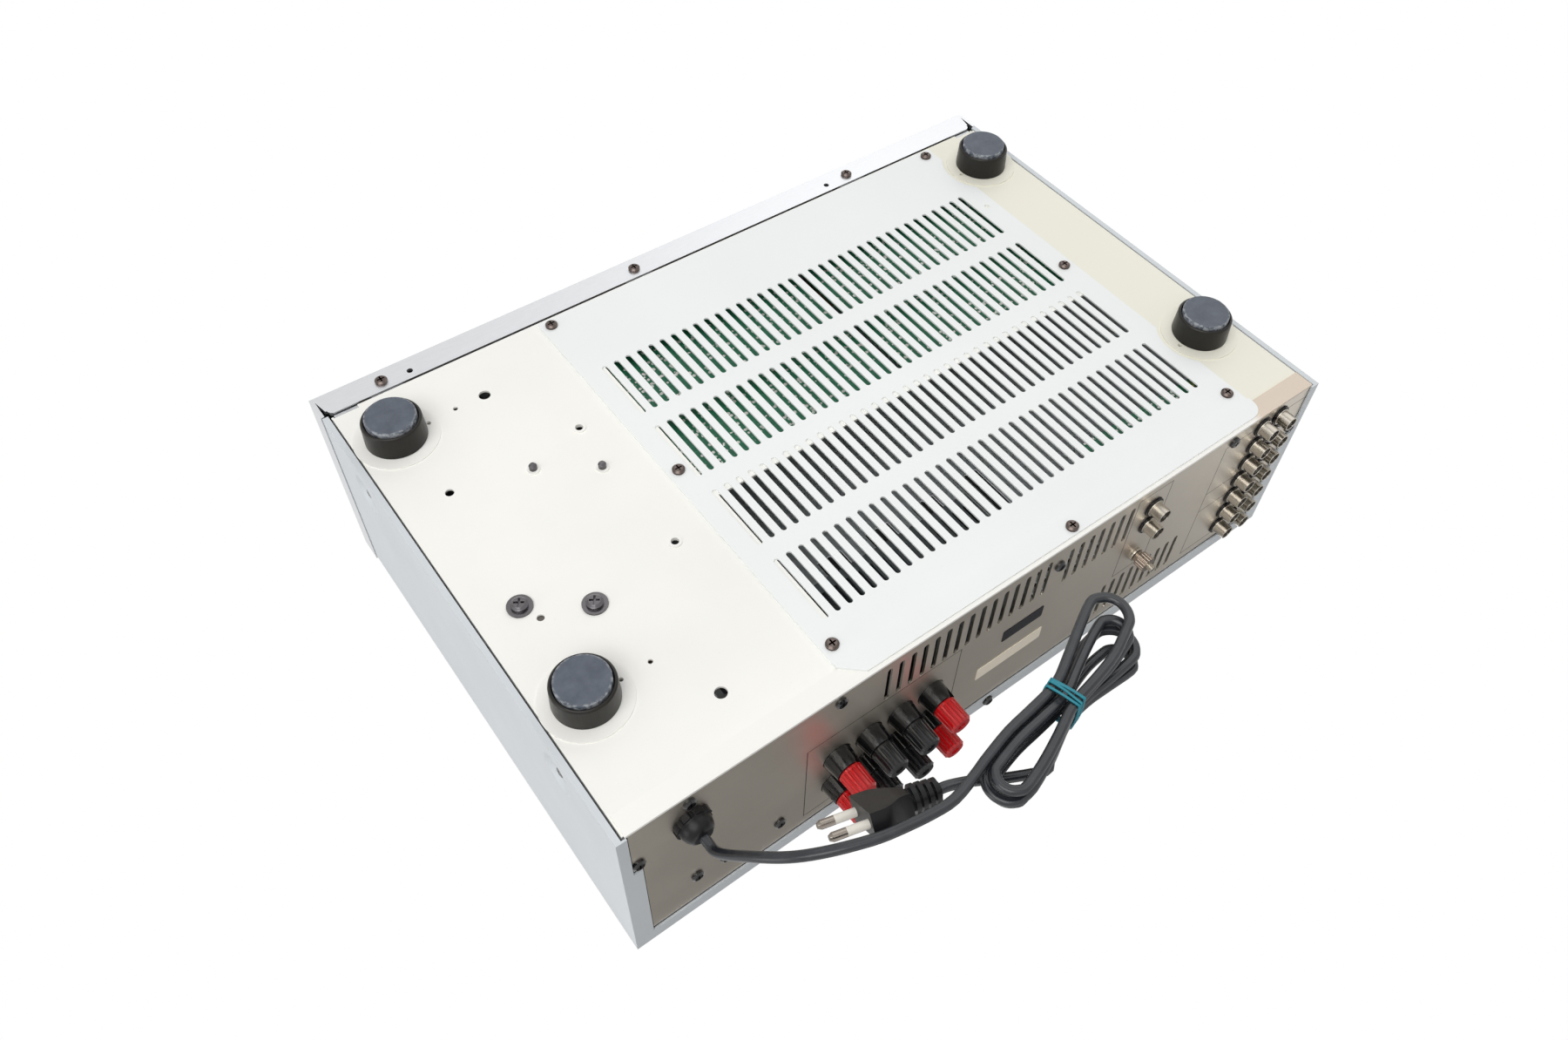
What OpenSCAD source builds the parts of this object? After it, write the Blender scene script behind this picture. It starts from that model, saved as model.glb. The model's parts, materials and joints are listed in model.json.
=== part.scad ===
/* [Case] */
// Width of the front panel
case_w = 434; // [426:1:446]
// Depth from the front panel's face to the rear edge of the cover
case_d = 290; // [284:1:310]
// Height of the cover above the bottom plate
case_h = 116; // [112:1:130]
// Thickness of the steel sheet in the tray, rear panel and sub-frame
sheet_t = 1.2; // [1.0:0.1:1.5]
// Thickness of the top cover's sheet
cover_t = 1.0; // [0.8:0.1:1.2]
// Gap from the side of the case to the tray on each side
tray_inset = 4.5; // [4.2:0.1:5]
// Height of the tray's upturned side walls
tray_wall_h = 26; // [24:1:34]
// Width of the cover's rear flange along the top edge
flange_top = 9.2; // [8:0.2:10]
// Width of the cover's rear flange down each side
flange_side = 9.6; // [8.5:0.1:9.8]
// Width of the same flange near the bottom corners
flange_narrow = 5.2; // [4.6:0.1:5.6]
// Height where the side flange narrows
flange_step_z = 36; // [34:1:40]

/* [Front panel] */
// Thickness of the front panel's face
face_t = 3; // [2.5:0.5:4]
// Depth of the rims behind the front panel's face
rim_d = 14.5; // [13:0.5:16]
// Thickness of those rims
rim_t = 2; // [1.5:0.1:2.4]
// How far the front panel stands above the cover
panel_rise = 2; // [1:0.5:4]
// Gap between the front panel's rims and the sheets behind them
panel_gap = 1.5; // [1:0.1:2]
// Places of the lip screws across the front
lip_screw_x = [-182, -32, 118];
// Distance of the lip screws behind the face
lip_screw_in = 8.2; // [7:0.1:9]

/* [Feet] */
// Height of the feet under the bottom plate
foot_h = 15.8; // [13:0.2:17]
// Diameter of a foot at its base
foot_d = 30.2; // [28:0.2:34]
// Diameter of the pad set into each foot
pad_d = 25; // [22:0.2:25.4]
// How far a pad stands out of its foot
pad_out = 2; // [1.2:0.1:2.6]
// Distance of the left feet from the side of the case
foot_left_in = 25; // [24:0.5:28]
// Distance of the right feet from the side of the case
foot_right_in = 24.5; // [22:0.5:26]
// Distance of the front feet behind the face
foot_front_in = 47; // [42:1:52]
// Distance of the rear feet before the rear edge
foot_rear_in = 63.5; // [60:0.5:70]
// Height of the pressed ring around each foot
ring_h = 0.6; // [0.4:0.1:0.8]
// Diameter of the pressed ring around each foot
ring_d = 42; // [40:0.5:43]

/* [Vent plate] */
// Thickness of the vent plate
vent_t = 1.0; // [0.8:0.1:1.2]
// Width of the vent plate
vent_w = 273; // [271:1:275]
// Place of the vent plate's middle across the case
vent_mid_x = 38.5; // [38:0.5:39]
// Distance of the vent plate's front edge behind the face
vent_front_in = 17.5; // [17:0.5:19]
// Distance of its rear edge before the rear edge of the cover
vent_rear_in = 3.1; // [2.8:0.1:4]
// Distance of the stepped strip before the rear edge
vent_step_in = 12.8; // [12.5:0.1:14]
// Radius of the round cut-outs beside the right feet
foot_cut_r = 23.5; // [22.5:0.1:24]
// Slots in each row
slot_n = 36; // [30:1:36]
// Spacing of all the slots
slot_pitch = 7; // [6.6:0.1:7]
// Width of a slot
slot_w = 3; // [2.4:0.1:3.4]
// Length of a slot in the bottom
slot_l = 39.5; // [34:0.5:42]
// Distance from one row to the next
row_pitch = 50.3; // [46:0.1:51]
// Distance of the last row's middle before the rear edge
row_last_in = 55.2; // [52:0.1:58]

/* [Rear panel] */
// Depth of the flange folded under the bottom
fold_d = 11; // [9:0.5:11.4]
// First slot of the long row in the rear panel
rear_slot_x = -76.2; // [-77:0.1:-75]
// Slots in the long row of the rear panel
rear_slot_n = 15; // [10:1:15]
// First slot of the short upper row
rear_slot2_x = 36.6; // [36:0.1:38]
// Slots in the short upper row
rear_slot2_n = 7; // [4:1:7]
// First slot of the lower row
rear_slot3_x = 77.8; // [77:0.1:79]
// Slots in the lower row
rear_slot3_n = 9; // [5:1:9]
// Length of a slot in the rear panel
rear_slot_l = 26.6; // [20:0.2:27]
// Height of the upper slots' middle
rear_slot_z = 18.8; // [18:0.1:20]
// Height of the lower slots' middle
rear_slot3_z = 85.3; // [82:0.1:87]

/* [Speaker terminals] */
// Spacing of the speaker terminals across the panel
post_pitch = 19; // [18.5:0.1:19.5]
// Place of the first terminal across the panel
post_x = -103; // [-105:0.5:-100]
// Height of the lower row of terminals
post_z = 56.5; // [54:0.5:58]
// Distance between the two rows
post_rows = 25; // [23:0.5:26]
// Diameter of the black collars at the panel
collar_d = 15.6; // [15:0.1:16.4]
// Diameter of the collars at their tips
collar_tip_d = 13.6; // [13.4:0.1:15]
// How far the collars stand out of the panel
collar_out = 9.5; // [8:0.1:11]
// Diameter of the screw caps
cap_d = 12.6; // [12:0.1:13]
// Length of the screw caps
cap_l = 12.8; // [11:0.1:15]
// Radius of the metal studs
stud_r = 2.2; // [2:0.1:2.6]
// Running clearance between a cap and its stud
cap_run = 0.06; // [0.04:0.01:0.1]

/* [Jacks] */
// Spacing of the input jacks
jack_pitch = 14; // [13:0.1:14]
// Rows of input jacks
jack_rows = 7; // [5:1:7]
// Distance of the right jack column from the side of the case
jack_in = 27.3; // [26.5:0.1:28]
// Height of the lowest jack row
jack_z = 8.8; // [8.6:0.1:9.4]
// Outer radius of a jack's shell
jack_r = 4.15; // [4.1:0.05:4.3]
// Wall of a jack's shell
jack_wall = 0.75; // [0.5:0.05:0.8]
// How far a jack's shell stands out of the panel
jack_out = 8.2; // [7:0.1:10]
// Radius of the black ring around each jack
jack_ring_r = 6; // [5.6:0.1:6.2]
// Place of the record player jacks across the panel
phono_x = 96; // [94:0.5:98]
// Height of the lower record player jack
phono_z = 17.4; // [16:0.1:18]
// Height of the ground terminal
ground_z = 57.6; // [56:0.1:59]

/* [Cord] */
// Diameter of the power cord
cord_d = 4.8; // [4.6:0.1:4.8]
// Distance of the cord gland from the side of the case
gland_in = 35; // [33:0.5:37]
// Height of the cord gland
gland_z = 21; // [20:0.5:22]
// Radius of the gland's round body
gland_r = 9; // [8:0.1:10]
// How far the gland stands out of the panel
gland_out = 10; // [9:0.5:12]

/* [Controls] */
// Height of the lower row of controls
low_row_z = 34; // [32:1:38]
// Height of the two large knobs
knob_row_z = 60; // [58:1:64]
// Distance of the volume knob from the side of the case
volume_in = 59; // [55:1:62]
// Distance from the volume knob to the input knob
knob_pitch = 66; // [62:1:70]
// Distance of the bass knob from the side of the case
tone_in = 121; // [115:1:125]
// Spacing of the bass, treble and balance knobs
tone_pitch = 48; // [42:1:50]
// Distance of the power button and the headphone jack from the side of the case
left_in = 33; // [31:1:38]
// Diameter of the volume knob
volume_d = 58; // [50:1:64]
// Diameter of the input knob
input_d = 38; // [32:1:44]
// Diameter of the tone knobs
tone_d = 24; // [20:1:28]
// How far the large knobs stand out
knob_out = 19; // [15:0.5:22]
// How far the tone knobs stand out
tone_out = 14; // [11:0.5:17]
// Radius of the control shafts
shaft_r = 3; // [2.8:0.1:3.2]
// Gap between a knob and the front panel
knob_gap = 0.8; // [0.5:0.1:1.5]
// Width of the power button
button_w = 22; // [16:1:26]
// Height of the power button
button_h = 11; // [8:1:13]
// Travel of the power button
button_travel = 3; // [2:0.5:4]
// Radius of the headphone jack's bore
phones_r = 3.2; // [3.18:0.01:3.25]

/* [Inside] */
// Width of the transformer's core
core_w = 96; // [90:1:100]
// Depth of the transformer's core
core_d = 46; // [42:1:50]
// Height of the transformer's core
core_h = 80; // [76:1:88]
// Turn of the transformer on the floor
core_turn = -56.5; // [-60:0.5:-50]
// Place of the transformer's middle
core_at = [-156.4, -144.3];
// Spacing of the transformer's bolts
bolt_pitch = [79, 33];
// Height of the circuit boards over the bottom plate
board_z = 8; // [7.5:0.5:10]
// Thickness of the circuit boards
board_t = 1.6; // [1.2:0.1:2]
// Diameter of the filter capacitors
can_d = 35; // [30:1:36]
// Height of the filter capacitors
can_h = 60; // [45:1:70]
// Spacing of the heat sink's fins
fin_pitch = 7; // [6.6:0.1:7]
// Thickness of a fin
fin_t = 2; // [1.6:0.1:2.6]
// Length of the fins
fin_l = 46; // [40:1:48]
// Height of the heat sink
sink_h = 88; // [80:1:92]

/* [Hidden] */
$fn = 48;
tiny = 0.01;
front = -case_d;
rim_back = front + rim_d;
sheet_front = rim_back + panel_gap;
rear_face = -cover_t;
rear_inner = rear_face - sheet_t;
tray_half = case_w / 2 - tray_inset;
cover_half = case_w / 2 - 0.5;
panel_half = cover_half - flange_narrow + 0.4;
face_half = case_w / 2;
gland_x = -face_half + gland_in;
jack_x = face_half - jack_in;
left_x = -face_half + left_in;
volume_x = face_half - volume_in;
input_x = volume_x - knob_pitch;
tone_x = [for (i = [0:2]) -face_half + tone_in + i * tone_pitch];
panel_top = case_h + panel_rise;
floor_top = sheet_t;
knob_reach = knob_gap + knob_out;
post_tip = rear_face + collar_out + 0.5 + cap_l;
body_shift = (case_d + knob_reach - post_tip) / 2;
foot_y = [front + foot_front_in, -foot_rear_in];
foot_x = [-case_w / 2 + foot_left_in, case_w / 2 - foot_right_in];
pad_r = pad_d / 2;
pad_gap = 0.5;
pad_deep = 2;
foot_r = foot_d / 2;
foot_screw_r = 1.8;
foot_screw_l = 8;
hole_clear = 0.2;
screw_r = 1.5;
screw_l = 6;
head_r = 3.2;
head_h = 2;
washer_r = 6;
washer_t = 1;
slot_x0 = vent_mid_x - (slot_n - 1) * slot_pitch / 2 - 1.4;
vent_left = vent_mid_x - vent_w / 2;
vent_right = vent_mid_x + vent_w / 2;
vent_front = front + vent_front_in;
vent_screw_in = 5.8;
open_left = vent_left + 13.4;
open_right = vent_right - 12;
open_front = vent_front + 15;
open_rear = -18;
cross_y = -129;
cross_w = 14;
tray_notch = [14, 2.2];
tab_x = [gland_x, gland_x + 78, jack_x - 37.7];
tab_w = 14;
tab_h = 12;
low_screw_z = 5.4;
rear_screws = [[gland_x + 0.5, 81], [gland_x + 16, 82], [gland_x + 46.5, 86], [29.2, 13.6]];
side_screw_y = [front + 56, -49.7];
side_screw_z = 18.5;
dimple_r = 11;
dimple_floor_r = 6.5;
side_screw_x = tray_half + cover_t + 0.1;
frame_y = sheet_front + 2;
frame_half = tray_half - 8;
frame_top = case_h - 8;
lip_screw_y = front + lip_screw_in;
lip_hole_x = [-167, 102];
lip_hole_r = 1.6;
lip_end_gap = 2.6;
lip_end_r = 3;
wire_hole = [30, frame_top - 18];
wire_hole_r = 6;
tone_z = low_row_z;
bush_r = 4.6;
bush_l = 7;
pot_l = 12;
button_z = 84;
phones_z = low_row_z;
phones_body = [16, 22, 16];
jack_hole_r = jack_ring_r + 0.15;
notch_w = 5;
notch_l = 5.5;
notch_turn = 40;
cap_taper = 0.4;
grip_groove_r = 0.8;
jack_block_y = rear_inner - 8;
groove_d = 6;
core_z = floor_top + 1;
core_limb = core_w / 3;
core_yoke = core_w / 6;
wind_gap = 0.4;
wind_out = 17;
bolt_r = 2;
bolt_l = 12;
stud_out = 4.5;
stud_tip = 1.3;
collar_h = 0.9;
collar_r = 3.3;
can_at = [[-62, -200], [-20, -200]];
main_x = [vent_left - 3, open_right + 10];
main_y = [open_front - 8, -128];
seam_x = [41, 48];
input_board_x = [84, jack_x + 10];
input_board_y = [-47, jack_block_y - 0.8];
stand_in = 4;
stand_r = 3.5;
sink_x = -72;
fin_n = 14;
sink_z = board_z + board_t + 3;
sink_y = rear_inner - 6 - fin_l;
sink_base_t = 6;
transistor = [16, 5, 20];
gland_lobes = 8;
gland_lobe_t = 3.2;
transistor_pitch = 24;
transistor_lift = 34;
// The free cord is written from its gland, the rear edge and the floor
cord_r = cord_d / 2;
hank_at = [150, 60];
hank_turn = -16;
hank_lift = 1.3;
hank_pitch = 5.3;
hank_left = 45;
hank_right = [46, 43, 40, 38];
hank_fan = [-5, -1, 3, 6];
hank_end_w = 11;
hank_waist_w = 6.7;
hank_waist_l = 20;
hank_start_t = -0.12;
hank_end_t = 3.56;
hank_rings = 24;
hank_sides = 6;
run_half = 0.12;
tie_w = 6;
tie_t = 0.9;
plug_turn = 15.3;
plug_tilt = 48;
plug_end = [83, 57, 14];
relief_l = 14;
plug_body = [20, 27, 11];
pin_l = 17;
pin_r = 2;
pin_gap = 17;
lead_points = [
    [0, 14, 36.8], [0.2, 17, 35.8], [1, 20.5, 32.8], [2.6, 25, 27.8], [5.4, 31, 21.2], [9, 37.5, 14.8],
    [14, 44, 9.6], [20, 49.5, 5.8], [28, 54.5, 3.3], [37, 58.5, 2.5], [47, 62, 2.5],
    [58, 64.5, 2.6], [70, 66.5, 2.8], [81, 67, 3.3]
];
tail_points = [[114, 69.5, 19.8], [105, 65.2, 18.4], [97, 61.6, 16]];
lead_sides = 8;

// Everything on the case is drawn from its rear edge and bottom plate, then moved to its place
module placed() {
    translate([0, body_shift, foot_h])
        children();
}

module on_rear(x, z, y = rear_face) {
    translate([x, y, z])
        rotate([-90, 0, 0])
            children();
}

module on_front(x, z, y = front) {
    translate([x, y, z])
        rotate([90, 0, 0])
            children();
}

module under(x, y, z = 0) {
    translate([x, y, z])
        rotate([180, 0, 0])
            children();
}

module bar(from, to) {
    translate(from)
        cube(to - from);
}

module rear_sheet(y_outer, t) {
    translate([0, y_outer, 0])
        rotate([90, 0, 0])
            linear_extrude(t)
                children();
}

module slot_shape(w, l) {
    square([w, l - w], center = true);
    for (s = [-1, 1])
        translate([0, s * (l - w) / 2])
            circle(d = w);
}

module pan_screw(l = screw_l) {
    difference() {
        union() {
            cylinder(r = head_r, h = head_h * 0.6);
            translate([0, 0, head_h * 0.6 - tiny])
                cylinder(r1 = head_r, r2 = head_r * 0.7, h = head_h * 0.4);
            translate([0, 0, -l])
                cylinder(r = screw_r, h = l + tiny);
        }
        for (a = [0, 90])
            rotate([0, 0, a])
                translate([-head_r * 0.6, -0.4, head_h * 0.45])
                    cube([head_r * 1.2, 0.8, head_h]);
    }
}

// Screw places
vent_screws = [
    [vent_left + vent_screw_in, vent_front + 5.2, vent_t],
    [vent_right - vent_screw_in - 0.4, vent_front + 5.2, vent_t],
    [vent_left + vent_screw_in, -145, vent_t],
    [vent_right - vent_screw_in - 0.4, -145, vent_t],
    [vent_left + vent_screw_in, -23, vent_t],
    [vent_right - vent_screw_in - 0.4, -23, vent_t],
    [vent_mid_x + 1, -7.3, vent_t + sheet_t]
];
foot_places = [for (y = foot_y) for (x = foot_x) [x, y]];
posts = [for (r = [0, 1]) for (c = [0:3]) [post_x + c * post_pitch, post_z + r * post_rows]];
input_places = [for (r = [0:jack_rows - 1]) for (c = [0, 1]) [jack_x - c * jack_pitch, jack_z + r * jack_pitch]];
phono_places = [for (r = [0, 1]) [phono_x, phono_z + r * jack_pitch]];

module chassis_tray() {
    placed() color([0.89, 0.87, 0.80]) difference() {
        union() {
            bar([-tray_half, sheet_front, 0], [tray_half, rear_inner, sheet_t]);
            for (s = [0, 1])
                mirror([s, 0, 0])
                    bar([tray_half - sheet_t, sheet_front, 0], [tray_half, rear_inner, tray_wall_h]);
            for (x = tab_x)
                bar([x - tab_w / 2, rear_inner - sheet_t, 0], [x + tab_w / 2, rear_inner, tab_h]);
            for (p = foot_places)
                translate([p[0], p[1], -ring_h])
                    cylinder(d = ring_d, h = ring_h + tiny);
            for (y = [-196.8, -110.4])
                translate([-116.9, y, -collar_h])
                    cylinder(r = collar_r, h = collar_h + tiny);
            at_bolts([1])
                translate([0, 0, -collar_h])
                    cylinder(r = collar_r, h = collar_h + tiny);
        }
        for (span = [[open_front, cross_y - cross_w / 2], [cross_y + cross_w / 2, open_rear]])
            bar([open_left, span[0], -1], [open_right, span[1], 3]);
        for (s = [0, 1])
            mirror([s, 0, 0])
                bar([tray_half - tray_notch[0], sheet_front - 1, -1],
                    [tray_half + 1, sheet_front + tray_notch[1], floor_top + tiny]);
        for (p = foot_places)
            translate([p[0], p[1], -2])
                cylinder(r = foot_screw_r + hole_clear, h = 5);
        for (p = vent_screws)
            translate([p[0], p[1], -2])
                cylinder(r = screw_r + hole_clear, h = 5);
        for (x = tab_x)
            on_rear(x, low_screw_z, rear_inner - 3)
                cylinder(r = screw_r + hole_clear, h = 6);
        for (y = side_screw_y)
            translate([-tray_half - 2, y, side_screw_z])
                rotate([0, 90, 0])
                    cylinder(r = screw_r + hole_clear, h = 2 * tray_half + 4);
        at_bolts([-1])
            translate([0, 0, -2])
                cylinder(r = bolt_r + hole_clear, h = 6);
        at_bolts([1])
            translate([0, 0, -2])
                cylinder(r = bolt_r, h = 6);
        for (h = [[-160.3, -243.7, 1.25], [-144.2, -243.7, 3], [-187.3, -196.8, 2.2],
                  [-160.5, -63, 1.2], [-144.6, -32.5, 3], [-116.9, -196.8, 2], [-116.9, -110.4, 2],
                  [-187.4, -110.1, 1.8]])
            translate([h[0], h[1], -2])
                cylinder(r = h[2], h = 5);
        for (p = foot_places)
            translate([p[0] + (p[0] < 0 ? 1 : -1) * (foot_r + 1.4), p[1] + 1, -2])
                cylinder(r = 1.1, h = 5);
    }
}

module vent_outline() {
    difference() {
        union() {
            polygon([
                [vent_left, vent_front], [vent_right, vent_front], [vent_right, -vent_rear_in - 8],
                [vent_right - 8, -vent_rear_in], [vent_left + 10, -vent_rear_in],
                [vent_left, -vent_rear_in - 9]
            ]);
            translate([vent_right - 8, -vent_rear_in - 8])
                circle(r = 8);
        }
        for (y = foot_y)
            translate([foot_x[1], y])
                circle(r = foot_cut_r);
        for (r = [0:3])
            for (i = [0:slot_n - 1])
                translate([slot_x0 + i * slot_pitch, -row_last_in - r * row_pitch])
                    slot_shape(slot_w, slot_l);
        for (p = vent_screws)
            translate([p[0], p[1]])
                circle(r = screw_r + hole_clear);
        translate([vent_right - vent_screw_in - 1, -209.9])
            circle(r = 1.6);
    }
}

module vent_plate() {
    placed() color([0.91, 0.92, 0.90]) {
        difference() {
            translate([0, 0, -vent_t])
                linear_extrude(vent_t)
                    vent_outline();
            bar([vent_left - 1, -vent_step_in, -5], [vent_right + 1, 1, 5]);
        }
        intersection() {
            translate([0, 0, -vent_t - sheet_t])
                linear_extrude(vent_t)
                    vent_outline();
            bar([vent_left - 1, -vent_step_in - vent_t, -5], [vent_right + 1, 1, 5]);
        }
        intersection() {
            translate([0, 0, -vent_t - sheet_t])
                linear_extrude(vent_t + sheet_t)
                    vent_outline();
            bar([vent_left - 1, -vent_step_in - vent_t, -5], [vent_right + 1, -vent_step_in, 5]);
        }
    }
}

module rear_outline() {
    difference() {
        translate([-panel_half, -sheet_t])
            square([2 * panel_half, case_h - cover_t - 0.4 + sheet_t]);
        for (i = [0:rear_slot_n - 1])
            translate([rear_slot_x + i * slot_pitch, rear_slot_z])
                slot_shape(slot_w, rear_slot_l);
        for (i = [0:rear_slot2_n - 1])
            translate([rear_slot2_x + i * slot_pitch, rear_slot_z + 1])
                slot_shape(slot_w, rear_slot_l);
        for (i = [0:rear_slot3_n - 1])
            translate([rear_slot3_x + i * slot_pitch, rear_slot3_z])
                slot_shape(slot_w, rear_slot_l);
        for (p = posts)
            translate(p)
                circle(r = collar_d / 2 + hole_clear);
        for (p = concat(input_places, phono_places))
            translate(p)
                circle(r = jack_hole_r);
        translate([gland_x, gland_z])
            circle(r = gland_r - 1.5);
        translate([phono_x, ground_z])
            circle(r = 2 + hole_clear);
        for (x = tab_x)
            translate([x, low_screw_z])
                circle(r = screw_r + hole_clear);
        for (p = rear_screws)
            translate(p)
                circle(r = screw_r + hole_clear);
        translate([0, case_h - cover_t - flange_top / 2 + 0.4])
            circle(r = screw_r + hole_clear);
        for (s = [-1, 1])
            translate([s * (panel_half - 3.6), 30])
                circle(r = screw_r + hole_clear);
    }
}

module rear_panel() {
    placed() color([0.60, 0.57, 0.52]) {
        rear_sheet(rear_face, sheet_t)
            rear_outline();
        difference() {
            bar([-panel_half, rear_face - fold_d, -sheet_t], [panel_half, rear_face - sheet_t + tiny, 0]);
            translate([vent_mid_x + 1, -7.3, -3])
                cylinder(r = screw_r + hole_clear, h = 6);
        }
    }
}

module control_holes(clear) {
    translate([volume_x, knob_row_z])
        circle(r = bush_r + clear);
    translate([input_x, knob_row_z])
        circle(r = bush_r + clear);
    for (x = tone_x)
        translate([x, tone_z])
            circle(r = bush_r + clear);
    translate([left_x, phones_z])
        circle(r = 6 + clear);
    translate([left_x - button_w / 2 - clear, button_z - button_h / 2 - clear])
        square([button_w + 2 * clear, button_h + 2 * clear]);
}

module front_subframe() {
    placed() color([0.70, 0.71, 0.72]) {
        rear_sheet(frame_y + sheet_t, sheet_t)
            difference() {
                translate([-frame_half, floor_top])
                    square([2 * frame_half, frame_top - floor_top]);
                control_holes(hole_clear);
                translate(wire_hole)
                    circle(r = wire_hole_r);
            }
        for (x = lip_screw_x)
            difference() {
                bar([x - 9, front + face_t, rim_t], [x + 9, frame_y + tiny, rim_t + sheet_t]);
                translate([x, lip_screw_y, -1])
                    cylinder(r = screw_r + hole_clear, h = 8);
            }
        bar([-frame_half, frame_y, frame_top - sheet_t], [frame_half, frame_y + 10, frame_top]);
        for (s = [0, 1])
            mirror([s, 0, 0]) {
                bar([tray_half - tray_notch[0] - 1, rim_back + 0.6, floor_top],
                    [tray_half - sheet_t - 0.4, frame_y - 0.5, floor_top + sheet_t]);
                bar([tray_half - tray_notch[0] - 1, frame_y - 0.5 - tiny, floor_top],
                    [frame_half, frame_y + tiny, floor_top + sheet_t]);
            }
    }
}

module dimple_wall() {
    for (y = side_screw_y)
        translate([cover_half, y, side_screw_z])
            rotate([0, -90, 0])
                cylinder(r1 = dimple_r + cover_t, r2 = dimple_floor_r + cover_t,
                    h = cover_half - tray_half - 0.1);
}

module dimple_cut() {
    for (y = side_screw_y)
        translate([cover_half, y, side_screw_z])
            rotate([0, -90, 0]) {
                translate([0, 0, -1])
                    cylinder(r = dimple_r, h = 1 + tiny);
                cylinder(r1 = dimple_r, r2 = dimple_floor_r, h = cover_half - side_screw_x);
                cylinder(r = screw_r + hole_clear, h = 10);
            }
}

module cover_side() {
    difference() {
        union() {
            bar([cover_half - cover_t, rim_back + panel_gap / 2, 0], [cover_half, 0, case_h]);
            bar([cover_half - 3, rim_back + panel_gap / 2, 0], [cover_half, 0, cover_t]);
            dimple_wall();
            bar([cover_half - flange_narrow, -cover_t, 0], [cover_half, 0, case_h]);
            bar([cover_half - flange_side, -cover_t, flange_step_z], [cover_half, 0, case_h]);
        }
        dimple_cut();
    }
}

module top_cover() {
    placed() color([0.80, 0.83, 0.85]) {
        difference() {
            translate([0, 0, case_h - cover_t])
                linear_extrude(cover_t)
                    difference() {
                        translate([-cover_half, rim_back + panel_gap / 2])
                            square([2 * cover_half, -rim_back - panel_gap / 2]);
                        for (r = [0, 1])
                            for (i = [0:slot_n - 1])
                                translate([slot_x0 + i * slot_pitch - 36, -row_last_in - r * row_pitch])
                                    slot_shape(slot_w, slot_l);
                    }
        }
        cover_side();
        mirror([1, 0, 0])
            cover_side();
        difference() {
            bar([-cover_half, -cover_t, case_h - flange_top], [cover_half, 0, case_h]);
            on_rear(0, case_h - cover_t - flange_top / 2 + 0.4, -3)
                cylinder(r = screw_r + hole_clear, h = 6);
        }
    }
}

// The lip's ends are cut back from the side rims and rounded
module lip_end_cut() {
    side = face_half - rim_t;
    corner = [side - lip_end_gap - lip_end_r, rim_back - lip_end_r];
    polygon([[side, front + face_t], [side, rim_back + 1], [side - lip_end_gap, rim_back + 1]]);
    difference() {
        translate(corner)
            square(lip_end_r + 1);
        translate(corner)
            circle(r = lip_end_r);
    }
}

module front_panel() {
    placed() color([0.84, 0.85, 0.86]) {
        rear_sheet(front + face_t, face_t)
            difference() {
                translate([-face_half, 0])
                    square([2 * face_half, panel_top]);
                control_holes(0.4);
            }
        difference() {
            union() {
                bar([-face_half, front, 0], [face_half, rim_back, rim_t]);
                bar([-face_half, front, panel_top - rim_t], [face_half, rim_back, panel_top]);
                for (s = [0, 1])
                    mirror([s, 0, 0])
                        bar([face_half - rim_t, front, 0], [face_half, rim_back, panel_top]);
            }
            for (x = lip_screw_x)
                translate([x, lip_screw_y, -1])
                    cylinder(r = screw_r + hole_clear, h = 8);
            for (x = lip_hole_x)
                translate([x, lip_screw_y + 1.1, -1])
                    cylinder(r = lip_hole_r, h = 8);
            for (s = [0, 1])
                mirror([s, 0, 0])
                    translate([0, 0, -1])
                        linear_extrude(rim_t + 1 + tiny)
                            lip_end_cut();
        }
    }
}

// The foot is turned: a cup with a seat for its pad and a well for its screw
module foot(x, y) {
    pad_seat = foot_h - pad_out - pad_deep;
    rim_z = foot_h - ring_h - pad_out;
    placed() color([0.10, 0.10, 0.11]) under(x, y, -ring_h)
        rotate_extrude()
            polygon([
                [foot_screw_r + hole_clear, 0], [foot_r, 0], [foot_r, 1.2],
                [foot_r - 0.5, rim_z - 1], [foot_r - 1.2, rim_z],
                [pad_r + pad_gap, rim_z], [pad_r + pad_gap, pad_seat - ring_h],
                [5, pad_seat - ring_h], [5, 3.6], [foot_screw_r + hole_clear, 3.6]
            ]);
}

module foot_pads() {
    placed() color([0.20, 0.22, 0.26])
        for (p = foot_places)
            under(p[0], p[1], -(foot_h - pad_out - pad_deep)) {
                cylinder(r = pad_r, h = pad_out + pad_deep - 0.4);
                translate([0, 0, pad_out + pad_deep - 0.4 - tiny])
                    cylinder(r1 = pad_r, r2 = pad_r - 0.4, h = 0.4 + tiny);
            }
}

module foot_screws() {
    placed() color([0.55, 0.55, 0.56])
        for (p = foot_places)
            under(p[0], p[1], -ring_h - 3.6)
                difference() {
                    union() {
                        cylinder(r = 4, h = 2.4);
                        translate([0, 0, -foot_screw_l])
                            cylinder(r = foot_screw_r, h = foot_screw_l + tiny);
                    }
                    translate([-2.4, -0.5, 1.2])
                        cube([4.8, 1, 3]);
                }
}

module bottom_screws() {
    placed() color([0.36, 0.30, 0.27]) {
        for (p = vent_screws)
            under(p[0], p[1], -p[2])
                pan_screw();
        for (x = lip_screw_x)
            under(x, lip_screw_y)
                pan_screw();
    }
}

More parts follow.
